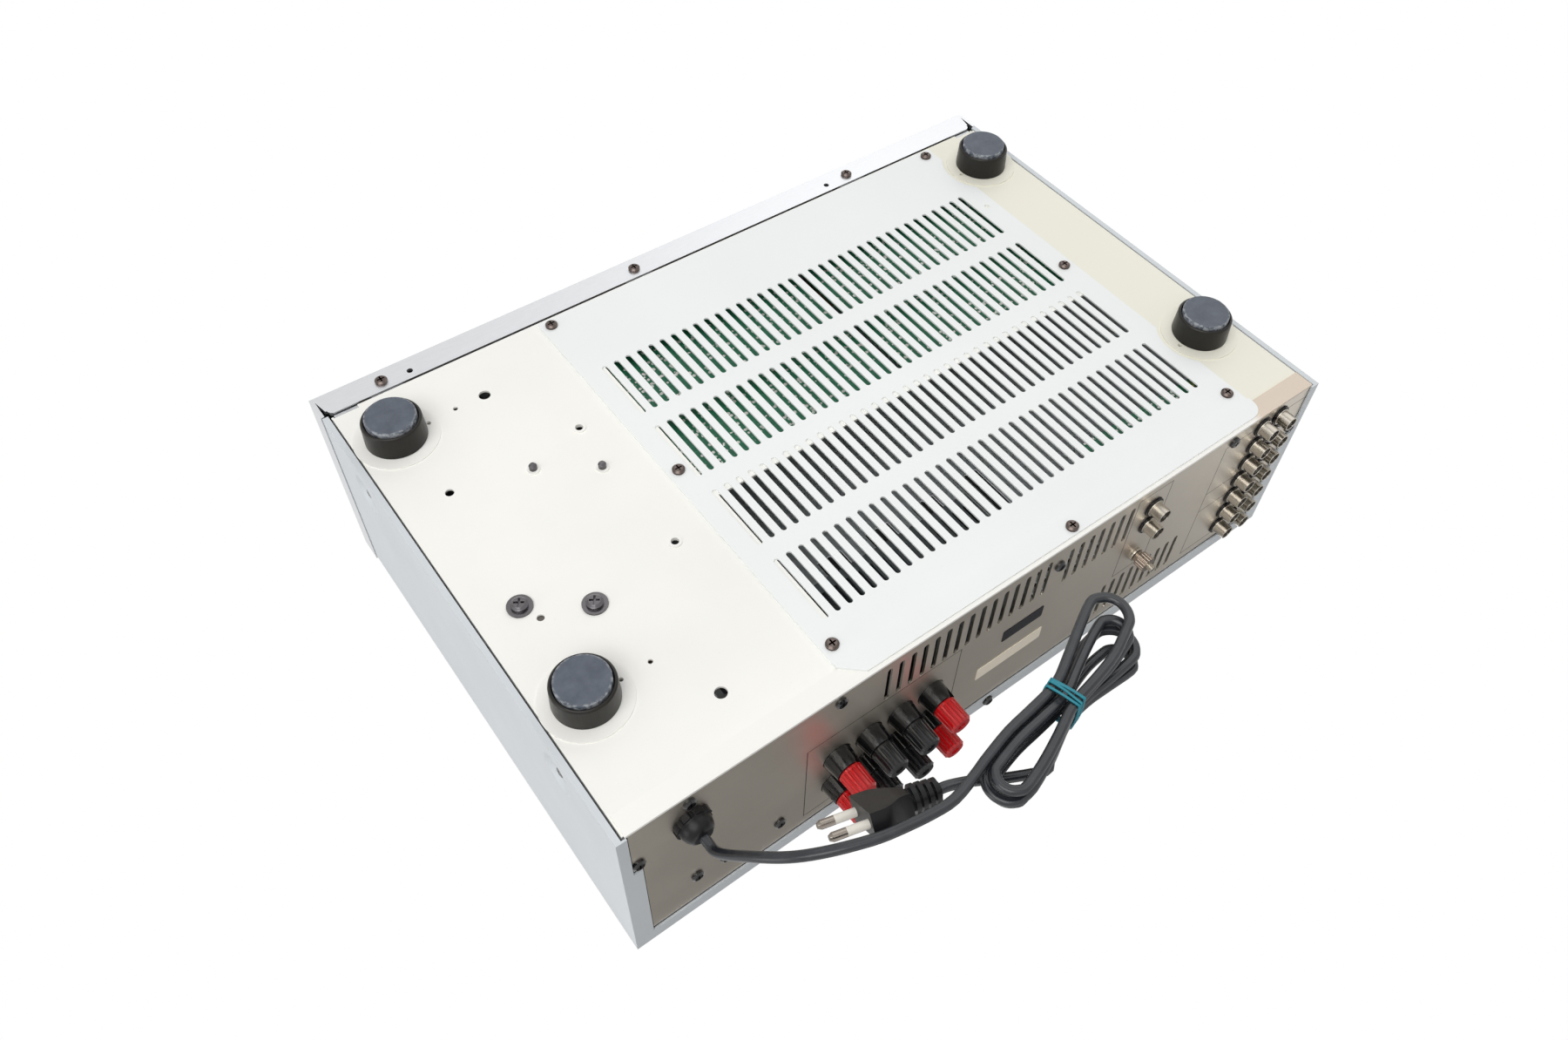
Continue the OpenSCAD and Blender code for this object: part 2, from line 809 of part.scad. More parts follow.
module case_screws() {
    placed() color([0.08, 0.08, 0.09]) {
        for (x = tab_x)
            on_rear(x, low_screw_z)
                pan_screw();
        for (p = rear_screws)
            on_rear(p[0], p[1])
                pan_screw(3.5);
        for (s = [-1, 1])
            on_rear(s * (panel_half - 3.6), 30)
                pan_screw(4);
        on_rear(0, case_h - cover_t - flange_top / 2 + 0.4, 0)
            pan_screw(4);
        for (s = [0, 1])
            mirror([s, 0, 0])
                for (y = side_screw_y)
                    translate([side_screw_x, y, side_screw_z])
                        rotate([0, 90, 0])
                            pan_screw();
    }
}

module at_core() {
    translate([core_at[0], core_at[1], 0])
        rotate([0, 0, core_turn])
            children();
}

module at_bolts(ends = [-1, 1]) {
    at_core()
        for (sx = ends)
            for (sy = [-1, 1])
                translate([sx * bolt_pitch[0] / 2, sy * bolt_pitch[1] / 2, 0])
                    children();
}

// Two bolts with washers at the rear end, and the tips of two screws driven from above at the front end
module transformer_bolts() {
    placed() color([0.42, 0.44, 0.47]) {
        at_bolts([-1])
            rotate([180, 0, 0]) {
                cylinder(r = washer_r, h = washer_t);
                translate([0, 0, washer_t - tiny])
                    difference() {
                        union() {
                            cylinder(r = 4, h = 1.4);
                            translate([0, 0, 1.4 - tiny])
                                cylinder(r1 = 4, r2 = 2.8, h = 1.2);
                        }
                        for (a = [0, 90])
                            rotate([0, 0, a])
                                translate([-2.4, -0.5, 1.2])
                                    cube([4.8, 1, 3]);
                    }
                translate([0, 0, -bolt_l])
                    cylinder(r = bolt_r, h = bolt_l + tiny);
            }
        at_bolts([1])
            rotate([180, 0, 0]) {
                translate([0, 0, -bolt_l])
                    cylinder(r = bolt_r, h = bolt_l + stud_out - stud_tip);
                translate([0, 0, stud_out - stud_tip - tiny])
                    cylinder(r1 = bolt_r, r2 = bolt_r * 0.5, h = stud_tip);
            }
    }
}

module transformer_core() {
    placed() color([0.30, 0.29, 0.28]) difference() {
        at_core()
            difference() {
                union() {
                    translate([-core_w / 2, -core_d / 2, core_z])
                        cube([core_w, core_d, core_h]);
                    for (s = [-1, 1])
                        translate([s * (core_w / 2 - 8) - 8, -core_d / 2, floor_top])
                            cube([16, core_d, core_z - floor_top + tiny]);
                }
                for (s = [-1, 1])
                    translate([s * (core_limb / 2 + core_yoke / 2) - core_yoke / 2, -core_d,
                        core_z + core_yoke])
                        cube([core_yoke, 2 * core_d, core_h - 2 * core_yoke]);
            }
        at_bolts()
            translate([0, 0, -1])
                cylinder(r = bolt_r + hole_clear, h = bolt_l + 2.5);
    }
}

module transformer_winding() {
    inner = [core_limb + 2 * wind_gap, core_d + 2 * wind_gap];
    outer = [core_limb + 2 * core_yoke - 2 * wind_gap, core_d + 2 * wind_out];
    placed() color([0.85, 0.62, 0.20]) at_core()
        translate([0, 0, core_z + core_yoke])
            linear_extrude(core_h - 2 * core_yoke - wind_gap)
                difference() {
                    square(outer, center = true);
                    square(inner, center = true);
                }
}

module heat_sink() {
    width = (fin_n - 1) * fin_pitch + fin_t;
    left_leg = vent_left - 2;
    placed() color([0.50, 0.56, 0.57]) {
        bar([sink_x, sink_y - sink_base_t, sink_z], [sink_x + width, sink_y, sink_z + sink_h]);
        for (i = [0:fin_n - 1])
            bar([sink_x + i * fin_pitch, sink_y - tiny, sink_z],
                [sink_x + i * fin_pitch + fin_t, sink_y + fin_l, sink_z + sink_h]);
        for (x = [sink_x, sink_x + 10 * fin_pitch])
            bar([x, open_rear + 2, floor_top], [x + fin_t, sink_y + fin_l, sink_z + tiny]);
        bar([left_leg, sink_y - sink_base_t, floor_top], [left_leg + 5, sink_y, sink_z + 12]);
        bar([left_leg, sink_y - sink_base_t, sink_z], [sink_x + tiny, sink_y, sink_z + 12]);
    }
}

module power_transistors() {
    placed() color([0.09, 0.09, 0.10])
        for (i = [0:3])
            translate([sink_x + 10 + i * transistor_pitch, sink_y - sink_base_t - transistor[1],
                sink_z + transistor_lift])
                difference() {
                    cube(transistor);
                    translate([transistor[0] / 2, -1, transistor[2] - 4])
                        rotate([-90, 0, 0])
                            cylinder(r = 1.7, h = 10);
                }
}

module main_board() {
    placed() color([0.06, 0.30, 0.18]) difference() {
        bar([main_x[0], main_y[0], board_z], [main_x[1], main_y[1], board_z + board_t]);
        bar([seam_x[0], main_y[0] - 1, board_z - 1], [seam_x[1], main_y[1] - 12, board_z + 3]);
        for (p = stand_places)
            translate([p[0], p[1], board_z - 1])
                cylinder(r = screw_r + hole_clear, h = 5);
    }
}

stand_places = [
    [main_x[0] + stand_in, main_y[0] + stand_in], [main_x[0] + stand_in, main_y[1] - stand_in],
    [main_x[1] - stand_in, main_y[0] + stand_in], [main_x[1] - stand_in, main_y[1] - stand_in],
    [8, main_y[0] + stand_in]
];
input_stands = [[vent_right - 7, -42], [jack_x + 5, -16]];

module board_standoffs() {
    placed() color([0.75, 0.70, 0.52])
        for (p = concat(stand_places, input_stands))
            translate([p[0], p[1], floor_top]) {
                cylinder(r = stand_r, h = board_z - floor_top);
                cylinder(r = screw_r, h = board_z - floor_top + board_t + 1.4);
            }
}

module filter_capacitors() {
    placed() color([0.10, 0.12, 0.20])
        for (p = can_at)
            translate([p[0], p[1], board_z + board_t])
                difference() {
                    cylinder(d = can_d, h = can_h);
                    translate([0, 0, can_h - 0.6])
                        cylinder(d = can_d - 5, h = 1);
                }
}

module input_board() {
    placed() color([0.08, 0.33, 0.20]) difference() {
        bar([input_board_x[0], input_board_y[0], board_z],
            [input_board_x[1], input_board_y[1], board_z + board_t]);
        for (p = input_stands)
            translate([p[0], p[1], board_z - 1])
                cylinder(r = screw_r + hole_clear, h = 5);
    }
}

// A turned control body behind the sub-frame with its threaded bush through it
module control_body(x, z, r, l) {
    on_front(x, z, frame_y)
        difference() {
            union() {
                translate([0, 0, -l])
                    cylinder(r = r, h = l);
                cylinder(r = bush_r, h = bush_l);
            }
            translate([0, 0, -l + 2])
                cylinder(r = shaft_r + 0.06, h = l + bush_l);
        }
    translate([x - r * 0.6, frame_y, z - r - 5])
        cube([r * 1.2, 4, 6]);
}

module volume_pot() {
    placed() color([0.55, 0.56, 0.57])
        translate([0, sheet_t, 0])
            control_body(volume_x, knob_row_z, 13, pot_l + 8);
}

module tone_pots() {
    placed() color([0.50, 0.51, 0.52])
        translate([0, sheet_t, 0])
            for (x = tone_x)
                control_body(x, tone_z, 9, pot_l);
}

module input_switch() {
    placed() color([0.45, 0.42, 0.30])
        translate([0, sheet_t, 0])
            control_body(input_x, knob_row_z, 14, pot_l + 3);
}

module power_switch() {
    placed() color([0.16, 0.16, 0.17]) {
        difference() {
            bar([left_x - 9, frame_y + sheet_t, button_z - 8], [left_x + 9, frame_y + sheet_t + 24, button_z + 8]);
            on_front(left_x, button_z, frame_y + sheet_t + 12)
                cylinder(r = 3.2, h = 20);
        }
    }
}

module headphone_jack() {
    bush = -front + frame_y - 0.5;
    placed() color([0.12, 0.12, 0.13]) difference() {
        union() {
            bar([left_x - phones_body[0] / 2, frame_y + sheet_t, phones_z - phones_body[2] / 2],
                [left_x + phones_body[0] / 2, frame_y + sheet_t + phones_body[1], phones_z + phones_body[2] / 2]);
            on_front(left_x, phones_z, frame_y + sheet_t)
                cylinder(r = 6, h = bush + sheet_t + 2);
        }
        on_front(left_x, phones_z, frame_y + sheet_t + phones_body[1] - 3)
            cylinder(r = phones_r, h = 80);
    }
}

module terminal_block() {
    plate_t = 3;
    placed() color([0.07, 0.07, 0.08]) difference() {
        union() {
            bar([post_x - 12, rear_inner - plate_t, post_z - 12],
                [post_x + 3 * post_pitch + 12, rear_inner, post_z + post_rows + 12]);
            for (p = posts)
                on_rear(p[0], p[1], rear_inner - tiny)
                    cylinder(d1 = collar_d, d2 = collar_tip_d, h = collar_out + sheet_t + tiny);
        }
        for (p = posts) {
            on_rear(p[0], p[1], rear_face + 1)
                cylinder(r = cap_d / 2 - 1.2 + 0.3, h = collar_out + 1);
            on_rear(p[0], p[1], rear_inner - 10)
                cylinder(r = stud_r + 0.1, h = 40);
            on_rear(p[0], p[1], rear_face + collar_out)
                rotate([90, 0, 90 + notch_turn])
                    linear_extrude(collar_d)
                        polygon([[-notch_w / 2, tiny], [notch_w / 2, tiny], [0, -notch_l]]);
        }
    }
}

module terminal_studs() {
    placed() color([0.80, 0.70, 0.42])
        for (p = posts)
            on_rear(p[0], p[1], rear_inner - 5.6) {
                cylinder(r = stud_r, h = 5.6 + sheet_t + collar_out + cap_l - 3);
                cylinder(r = 4, h = 2.6);
            }
}

// A cap: fluted grip, a skirt inside the collar and a bore that runs on its stud
module terminal_cap(i) {
    p = posts[i - 1];
    red = i == 1 || i == 4 || i == 5 || i == 8;
    skirt_r = cap_d / 2 - 1.2;
    placed() color(red ? [0.80, 0.07, 0.08] : [0.08, 0.08, 0.09])
        on_rear(p[0], p[1], rear_face)
            difference() {
                union() {
                    translate([0, 0, 2])
                        cylinder(r = skirt_r, h = collar_out);
                    translate([0, 0, collar_out + 0.5])
                        cylinder(r1 = cap_d / 2, r2 = cap_d / 2 - cap_taper, h = cap_l - 1);
                    translate([0, 0, collar_out + cap_l - 0.5 - tiny])
                        cylinder(r1 = cap_d / 2 - cap_taper, r2 = cap_d / 2 - cap_taper - 1, h = 1 + tiny);
                }
                translate([0, 0, -1])
                    cylinder(r = stud_r + cap_run, h = collar_out + cap_l + 6);
                for (a = [0:22.5:337.5])
                    rotate([0, 0, a])
                        translate([cap_d / 2 + 0.25, 0, collar_out + 1.8])
                            cylinder(r = grip_groove_r, h = cap_l);
            }
}

module input_jacks() {
    placed() color([0.72, 0.70, 0.66])
        for (p = concat(input_places, phono_places))
            on_rear(p[0], p[1], rear_face)
                difference() {
                    union() {
                        translate([0, 0, -groove_d + 1.1])
                            cylinder(r = jack_r, h = groove_d + jack_out - 1.1);
                        translate([0, 0, 1])
                            cylinder(r = jack_r + 0.9, h = 0.8);
                    }
                    translate([0, 0, -groove_d - 1])
                        cylinder(r = jack_r - jack_wall, h = groove_d + jack_out + 3);
                }
}

module jack_strip(places, margin) {
    xs = [for (p = places) p[0]];
    zs = [for (p = places) p[1]];
    difference() {
        union() {
            bar([min(xs) - margin, jack_block_y, min(zs) - 5], [max(xs) + margin, rear_inner, max(zs) + margin]);
            for (p = places)
                on_rear(p[0], p[1], rear_inner - tiny)
                    cylinder(r = jack_ring_r, h = sheet_t + 1 + tiny);
        }
        for (p = places)
            on_rear(p[0], p[1], rear_face - groove_d + 1)
                cylinder(r = jack_r + 0.1, h = 20);
    }
    for (p = places)
        on_rear(p[0], p[1], rear_face - groove_d + 1 - tiny)
            difference() {
                cylinder(r = jack_r - jack_wall - 0.1, h = groove_d + jack_out - 2.5);
                translate([0, 0, groove_d - 4])
                    cylinder(r = 1.6, h = 20);
            }
}

module jack_insulators() {
    placed() color([0.07, 0.07, 0.08]) {
        jack_strip(input_places, 8);
        jack_strip(phono_places, 8);
    }
}

module ground_post() {
    placed() color([0.70, 0.68, 0.62])
        on_rear(phono_x, ground_z, rear_face) {
            translate([0, 0, -5])
                cylinder(r = 2, h = 5 + 13);
            cylinder(r = 4.2, h = 1.4);
            translate([0, 0, -sheet_t - 2.6])
                cylinder(r = 4, h = 2.6);
        }
}

module ground_nut() {
    placed() color([0.74, 0.72, 0.66])
        on_rear(phono_x, ground_z, rear_face + 1.7)
            difference() {
                union() {
                    cylinder(r = 3.4, h = 2);
                    translate([0, 0, 2 - tiny])
                        cylinder(r = 4.6, h = 6);
                }
                translate([0, 0, -1])
                    cylinder(r = 2 + cap_run, h = 12);
                for (a = [0:20:340])
                    rotate([0, 0, a])
                        translate([4.85, 0, 2.6])
                            cylinder(r = 0.5, h = 8);
            }
}

// The gland's gripping ring, with round lobes, and the dome that the cord leaves by
module gland_lobes() {
    linear_extrude(gland_lobe_t)
        difference() {
            circle(r = gland_r);
            for (a = [0:360 / gland_lobes:359])
                rotate(a)
                    translate([gland_r + 0.9, 0])
                        circle(r = 2);
        }
}

module gland_dome_half() {
    tip_r = cord_r + 1.4;
    dome_h = gland_out - gland_lobe_t + tiny;
    polygon(concat([[0, 0]],
        [for (a = [0:10:90]) [tip_r + (gland_r - 1.2 - tip_r) * cos(a), dome_h * sin(a)]],
        [[0, dome_h]]));
}

module cord_gland() {
    placed() color([0.06, 0.06, 0.07])
        on_rear(gland_x, gland_z, rear_inner - 3)
            difference() {
                union() {
                    cylinder(r = gland_r - 2, h = sheet_t + 4);
                    translate([0, 0, -2])
                        cylinder(r = gland_r, h = 5);
                    translate([0, 0, sheet_t + 3])
                        gland_lobes();
                    translate([0, 0, sheet_t + 3 + gland_lobe_t - tiny])
                        rotate_extrude()
                            gland_dome_half();
                }
                translate([0, 0, -4])
                    cylinder(r = cord_r + 0.4, h = gland_out - 2);
            }
}

// Knobs: a turned body with a grip, a pointer groove and a bore for the shaft
module knob(x, z, d, out) {
    on_front(x, z, front - knob_gap)
        difference() {
            rotate_extrude()
                polygon([
                    [0, 0], [d / 2, 0], [d / 2, 2], [d / 2 - 0.8, 2.4], [d / 2 - 1.6, out - 1.2],
                    [d / 2 - 2.8, out], [0, out]
                ]);
            translate([0, 0, -1])
                cylinder(r = shaft_r + hole_clear / 4, h = out - 3);
            translate([-0.6, d / 2 - d / 5 - 1.6, out - 1])
                cube([1.2, d / 5 + 4, 3]);
        }
}

// Shafts reach from inside the control body to the blind end of the knob's bore
module control_shaft(x, z, l, out) {
    back = frame_y + sheet_t + l - 2.5;
    tip = front - knob_gap - out + 4.5;
    on_front(x, z, back)
        difference() {
            cylinder(r = shaft_r, h = back - tip);
            translate([shaft_r * 0.5, -shaft_r, back - tip - 8])
                cube([shaft_r, 2 * shaft_r, 10]);
        }
}

module volume_knob() {
    placed() color([0.80, 0.81, 0.82])
        knob(volume_x, knob_row_z, volume_d, knob_out);
}

module volume_shaft() {
    placed() color([0.70, 0.70, 0.68])
        control_shaft(volume_x, knob_row_z, pot_l + 8, knob_out);
}

module input_knob() {
    placed() color([0.80, 0.81, 0.82])
        knob(input_x, knob_row_z, input_d, knob_out - 2);
}

module input_shaft() {
    placed() color([0.70, 0.70, 0.68])
        control_shaft(input_x, knob_row_z, pot_l + 3, knob_out - 2);
}

module tone_knob(i) {
    placed() color([0.80, 0.81, 0.82])
        knob(tone_x[i], tone_z, tone_d, tone_out);
}

module tone_shaft(i) {
    placed() color([0.70, 0.70, 0.68])
        control_shaft(tone_x[i], tone_z, pot_l, tone_out);
}

module power_button() {
    placed() color([0.78, 0.79, 0.80]) {
        bar([left_x - button_w / 2, front - 4, button_z - button_h / 2],
            [left_x + button_w / 2, front + face_t + 5, button_z + button_h / 2]);
        on_front(left_x, button_z, frame_y + sheet_t + 4)
            cylinder(r = 2.8, h = frame_y - front - face_t + 1);
    }
}

// A tube swept along points: rings of sides corners, square to the path, faces all triangles
function unit(v) = v / norm(v);
function path_dir(p, i) =
    unit(p[min(i + 1, len(p) - 1)] - p[max(i - 1, 0)]);
function ring_point(p, i, a, r) =
    let (t = path_dir(p, i), s = unit(cross([0, 0, 1], t)), u = cross(t, s))
    p[i] + r * (cos(a) * s + sin(a) * u);
function tube_points(p, r, n) =
    [for (i = [0:len(p) - 1]) for (j = [0:n - 1]) ring_point(p, i, (j + 0.5) * 360 / n, r)];
function tube_faces(m, n) = concat(
    [for (i = [0:m - 2]) for (j = [0:n - 1]) [i * n + j, i * n + (j + 1) % n, (i + 1) * n + j]],
    [for (i = [0:m - 2]) for (j = [0:n - 1])
        [i * n + (j + 1) % n, (i + 1) * n + (j + 1) % n, (i + 1) * n + j]],
    [for (j = [1:n - 2]) [0, j + 1, j]],
    [for (j = [1:n - 2]) [(m - 1) * n, (m - 1) * n + j, (m - 1) * n + j + 1]]
);

module tube(p, r, n) {
    polyhedron(points = tube_points(p, r, n), faces = tube_faces(len(p), n), convexity = 10);
}

// The hank: three and a half loops in four layers, drawn in at the waist, one layer up each loop
function ramp(x) = let (c = min(1, max(0, x))) c * c * (3 - 2 * c);
function spiral(t) = 1 - abs(t - 2 * floor(t / 2) - 1);
function start_spiral(t) = t < 0 ? t : spiral(t);
function layer(t) = ramp((t - 0.9) / 0.2) + ramp((t - 1.9) / 0.2) + ramp((t - 2.9) / 0.2);
function loop_no(t) = min(3, max(0, floor(t + 0.5)));
function half_l(t) = hank_right[min(3, max(0, floor(t)))];
function fan(t) = hank_fan[min(3, max(0, floor(t)))];
function run_w(t, u) =
    hank_end_w - hank_pitch * start_spiral(t)
        - (hank_end_w - hank_waist_w) * exp(-pow(u / hank_waist_l, 2));
function fan_at(t, u) = u > 0 ? fan(t) * pow(u / half_l(t), 2) : 0;
function hank_local(t) =
    let (q = t - floor(t), w = hank_end_w - hank_pitch * start_spiral(t), b = half_l(t))
    q < run_half ? let (u = b * q / run_half) [u, -run_w(t, u) + fan_at(t, u)]
    : q < 0.5 - run_half
        ? let (a = -90 + 180 * (q - run_half) / (0.5 - 2 * run_half))
          [b + w * cos(a), w * sin(a) + fan(t) * (1 + 0.8 * w * cos(a) / b)]
    : q < 0.5 ? let (u = b * (0.5 - q) / run_half) [u, run_w(t, u) + fan_at(t, u)]
    : q < 0.5 + run_half ? let (u = -hank_left * (q - 0.5) / run_half) [u, run_w(t, u)]
    : q < 1 - run_half
        ? let (a = 90 + 180 * (q - 0.5 - run_half) / (0.5 - 2 * run_half))
          [-hank_left + w * cos(a), w * sin(a)]
    : let (u = -hank_left * (1 - q) / run_half) [u, -run_w(t, u)];
hank_dir = [cos(hank_turn), sin(hank_turn), 0];
hank_side = [-sin(hank_turn), cos(hank_turn), 0];
function hank_world(t) =
    let (p = hank_local(t))
    [hank_at[0], hank_at[1], cord_r + hank_lift + hank_pitch * layer(t)]
        + p[0] * hank_dir + p[1] * hank_side;
hank_ts = [for (i = [0:floor((hank_end_t - hank_start_t) * hank_rings)]) hank_start_t + i / hank_rings];
hank_mid = [for (t = hank_ts) hank_world(t)];
hank_first = hank_mid[0] - cord_d * hank_dir;
hank_last_dir = unit(hank_mid[len(hank_mid) - 1] - hank_mid[len(hank_mid) - 2]);
hank_last = hank_mid[len(hank_mid) - 1] + cord_d * [hank_last_dir[0], hank_last_dir[1], 0];
hank_path = concat([hank_first], hank_mid, [hank_last]);

// Least gap of the hank to itself, between points of its path that lie well apart along it
function seg_gap(p, a, b) =
    let (d = b - a, k = min(1, max(0, (p - a) * d / (d * d))))
    norm(p - a - k * d);
hank_gap = min([for (i = [0:len(hank_path) - 1]) for (j = [0:len(hank_path) - 2])
    if (abs(i - j) > 5 && abs(i - j - 1) > 5) seg_gap(hank_path[i], hank_path[j], hank_path[j + 1])]) - cord_d;
echo(hank_gap = hank_gap);

module on_surface() {
    translate([gland_x, body_shift, 0])
        children();
}
gland_end = [0, rear_inner - 3 + sheet_t + 3 + gland_out, gland_z + foot_h];
plug_dir = [cos(plug_turn), sin(plug_turn), 0];
lead_path = concat([gland_end], lead_points, [hank_first - 5 * hank_dir, hank_first]);
tail_path = concat([hank_last, hank_last + cord_d * unit(hank_last - hank_mid[len(hank_mid) - 1])],
    tail_points, [plug_end + cord_d * plug_dir, plug_end]);

module cord_lead() {
    color([0.07, 0.07, 0.08]) on_surface()
        tube(lead_path, cord_r, lead_sides);
}

module cord_hank() {
    color([0.07, 0.07, 0.08]) on_surface()
        tube(hank_path, cord_r, hank_sides);
}

module cord_tail() {
    color([0.07, 0.07, 0.08]) on_surface()
        tube(tail_path, cord_r, lead_sides);
}

module tie_shape(grow) {
    left = -hank_waist_w - cord_r - 0.35 - grow;
    right = hank_waist_w - hank_pitch / 2 + cord_r + 0.35 + grow;
    low = hank_lift - 0.35 - grow;
    high = hank_lift + 3 * hank_pitch + cord_d + 0.35 + grow;
    r = 2.2 + grow;
    for (x = [left + r, right - r])
        for (y = [low + r, high - r])
            translate([x, y])
                circle(r = r);
    translate([left + r, low])
        square([right - left - 2 * r, high - low]);
    translate([left, low + r])
        square([right - left, high - low - 2 * r]);
}

module cord_tie() {
    color([0.05, 0.55, 0.60]) on_surface()
        translate([hank_at[0], hank_at[1], 0])
            rotate([0, 0, hank_turn])
                rotate([90, 0, 90])
                    translate([0, 0, -tie_w / 2])
                        linear_extrude(tie_w)
                            difference() {
                                tie_shape(tie_t);
                                tie_shape(0);
                            }
}

// The plug's own frame: +X towards the pins, turned and tilted as it lies
module at_plug() {
    on_surface()
        translate(plug_end)
            rotate([0, 0, plug_turn + 180])
                rotate([plug_tilt, 0, 0])
                    children();
}

// The plug seen from above widens in a curve from the cord to the shoulder behind its pins
module plug_half_outlines(w) {
    neck = w * 0.42;
    grip_l = plug_body[0] - 5.5;
    for (s = [0, 1])
        mirror([0, s])
            polygon(concat([[0, 0]],
                [for (i = [0:6]) [grip_l * i / 6, neck + (w - neck) * (1 - cos(30 * i)) / 2]],
                [[plug_body[0], w], [plug_body[0], 0]]));
}

module plug_side_outline(h) {
    polygon([[0, -h + 0.9], [6, -h], [plug_body[0], -h], [plug_body[0], h], [6, h], [0, h - 0.9]]);
}

module plug_body() {
    color([0.06, 0.06, 0.07]) at_plug() {
        rotate([0, 90, 0])
            cylinder(r1 = 3.4, r2 = 5, h = relief_l + tiny);
        for (i = [0:3])
            translate([1 + i * 3.2, 0, 0])
                rotate([0, 90, 0])
                    cylinder(r = 5.5 + i * 0.3, h = 2);
        difference() {
            intersection() {
                translate([relief_l, 0, -plug_body[2] / 2])
                    linear_extrude(plug_body[2])
                        plug_half_outlines(plug_body[1] / 2);
                translate([relief_l, plug_body[1] / 2, 0])
                    rotate([90, 0, 0])
                        linear_extrude(plug_body[1])
                            plug_side_outline(plug_body[2] / 2);
            }
            for (s = [-1, 1])
                translate([relief_l + plug_body[0] - 6, s * pin_gap / 2, 0])
                    rotate([0, 90, 0])
                        cylinder(r = pin_r, h = 10);
        }
    }
}

module plug_pins() {
    color([0.78, 0.74, 0.68]) at_plug()
        for (s = [-1, 1])
            translate([relief_l + plug_body[0] - 6, s * pin_gap / 2, 0])
                rotate([0, 90, 0]) {
                    cylinder(r = pin_r, h = 6 + pin_l - 1.5);
                    translate([0, 0, 6 + pin_l - 1.5 - tiny])
                        cylinder(r1 = pin_r, r2 = pin_r * 0.6, h = 1.5);
                }
}

chassis_tray();
vent_plate();
rear_panel();
front_subframe();
top_cover();
front_panel();
foot(foot_x[0], foot_y[0]);  // foot_front_left
foot(foot_x[1], foot_y[0]);  // foot_front_right
foot(foot_x[0], foot_y[1]);  // foot_rear_left
foot(foot_x[1], foot_y[1]);  // foot_rear_right
foot_pads();
foot_screws();
bottom_screws();
case_screws();
transformer_bolts();
cord_gland();
cord_lead();
cord_hank();
cord_tail();
cord_tie();
plug_body();
plug_pins();
transformer_core();
transformer_winding();
heat_sink();
power_transistors();
main_board();
filter_capacitors();
input_board();
board_standoffs();
volume_pot();
tone_pots();
input_switch();
power_switch();
headphone_jack();
terminal_block();
terminal_studs();
terminal_cap(1);  // terminal_cap_1
terminal_cap(2);  // terminal_cap_2
terminal_cap(3);  // terminal_cap_3
terminal_cap(4);  // terminal_cap_4
terminal_cap(5);  // terminal_cap_5
terminal_cap(6);  // terminal_cap_6
terminal_cap(7);  // terminal_cap_7
terminal_cap(8);  // terminal_cap_8
input_jacks();
jack_insulators();
ground_post();
ground_nut();
volume_knob();
volume_shaft();
input_knob();
input_shaft();
tone_knob(0);  // bass_knob
tone_shaft(0);  // bass_shaft
tone_knob(1);  // treble_knob
tone_shaft(1);  // treble_shaft
tone_knob(2);  // balance_knob
tone_shaft(2);  // balance_shaft
power_button();
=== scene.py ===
import json
import math
from functools import reduce

import bpy
from mathutils import Matrix, Vector


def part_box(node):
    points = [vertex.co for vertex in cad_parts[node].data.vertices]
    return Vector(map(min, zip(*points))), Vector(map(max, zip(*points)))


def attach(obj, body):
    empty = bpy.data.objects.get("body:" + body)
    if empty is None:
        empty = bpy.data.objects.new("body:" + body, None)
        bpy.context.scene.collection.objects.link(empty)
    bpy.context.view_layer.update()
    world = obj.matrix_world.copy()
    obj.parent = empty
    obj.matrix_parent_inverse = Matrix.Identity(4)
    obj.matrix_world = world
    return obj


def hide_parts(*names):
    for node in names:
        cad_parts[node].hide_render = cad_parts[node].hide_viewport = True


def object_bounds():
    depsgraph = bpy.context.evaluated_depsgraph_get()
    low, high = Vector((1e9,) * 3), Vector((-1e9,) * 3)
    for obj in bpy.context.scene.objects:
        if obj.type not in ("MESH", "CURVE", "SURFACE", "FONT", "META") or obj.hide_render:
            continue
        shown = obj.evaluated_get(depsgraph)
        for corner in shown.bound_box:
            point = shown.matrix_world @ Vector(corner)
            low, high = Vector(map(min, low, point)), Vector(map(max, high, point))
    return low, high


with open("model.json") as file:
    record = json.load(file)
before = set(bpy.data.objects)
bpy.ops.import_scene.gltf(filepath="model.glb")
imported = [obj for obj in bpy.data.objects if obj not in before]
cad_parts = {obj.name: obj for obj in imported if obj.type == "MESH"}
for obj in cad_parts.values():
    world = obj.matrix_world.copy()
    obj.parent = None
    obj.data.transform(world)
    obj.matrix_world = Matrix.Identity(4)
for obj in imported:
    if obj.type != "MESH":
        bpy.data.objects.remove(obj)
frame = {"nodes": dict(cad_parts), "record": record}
cad_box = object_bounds()
nodes = frame["nodes"]
slots = {part["node"]: part["material_slot"] for part in frame["record"]["subparts"]}
scene = bpy.context.scene
scene.view_settings.view_transform = "Standard"

MM = 0.001
# The case's rear edge, and its underside at the top of the feet, in metres
REAR_Y = 144 * MM
FEET_Z = 15.8 * MM
# The front face, the rear panel's face and the cover's top, in mm as at() takes them
FRONT = -290
REAR_FACE = -1
COVER_TOP = 116
# Edges sharper than this are broken, points nearer than this merge, flatter edges than this go
EDGE_ANGLE = math.radians(35)
WELD = 2e-6
FLAT_ANGLE = math.radians(1)
# The angle, in degrees, up to which the facets round a cord or a strand are smoothed
TUBE_ANGLE = 60


def at(x, y, z):
    """A point on the case in mm: x from its middle, y from its rear edge, z from its bottom."""
    return Vector((x * MM, y * MM + REAR_Y, z * MM + FEET_Z))


# Tools

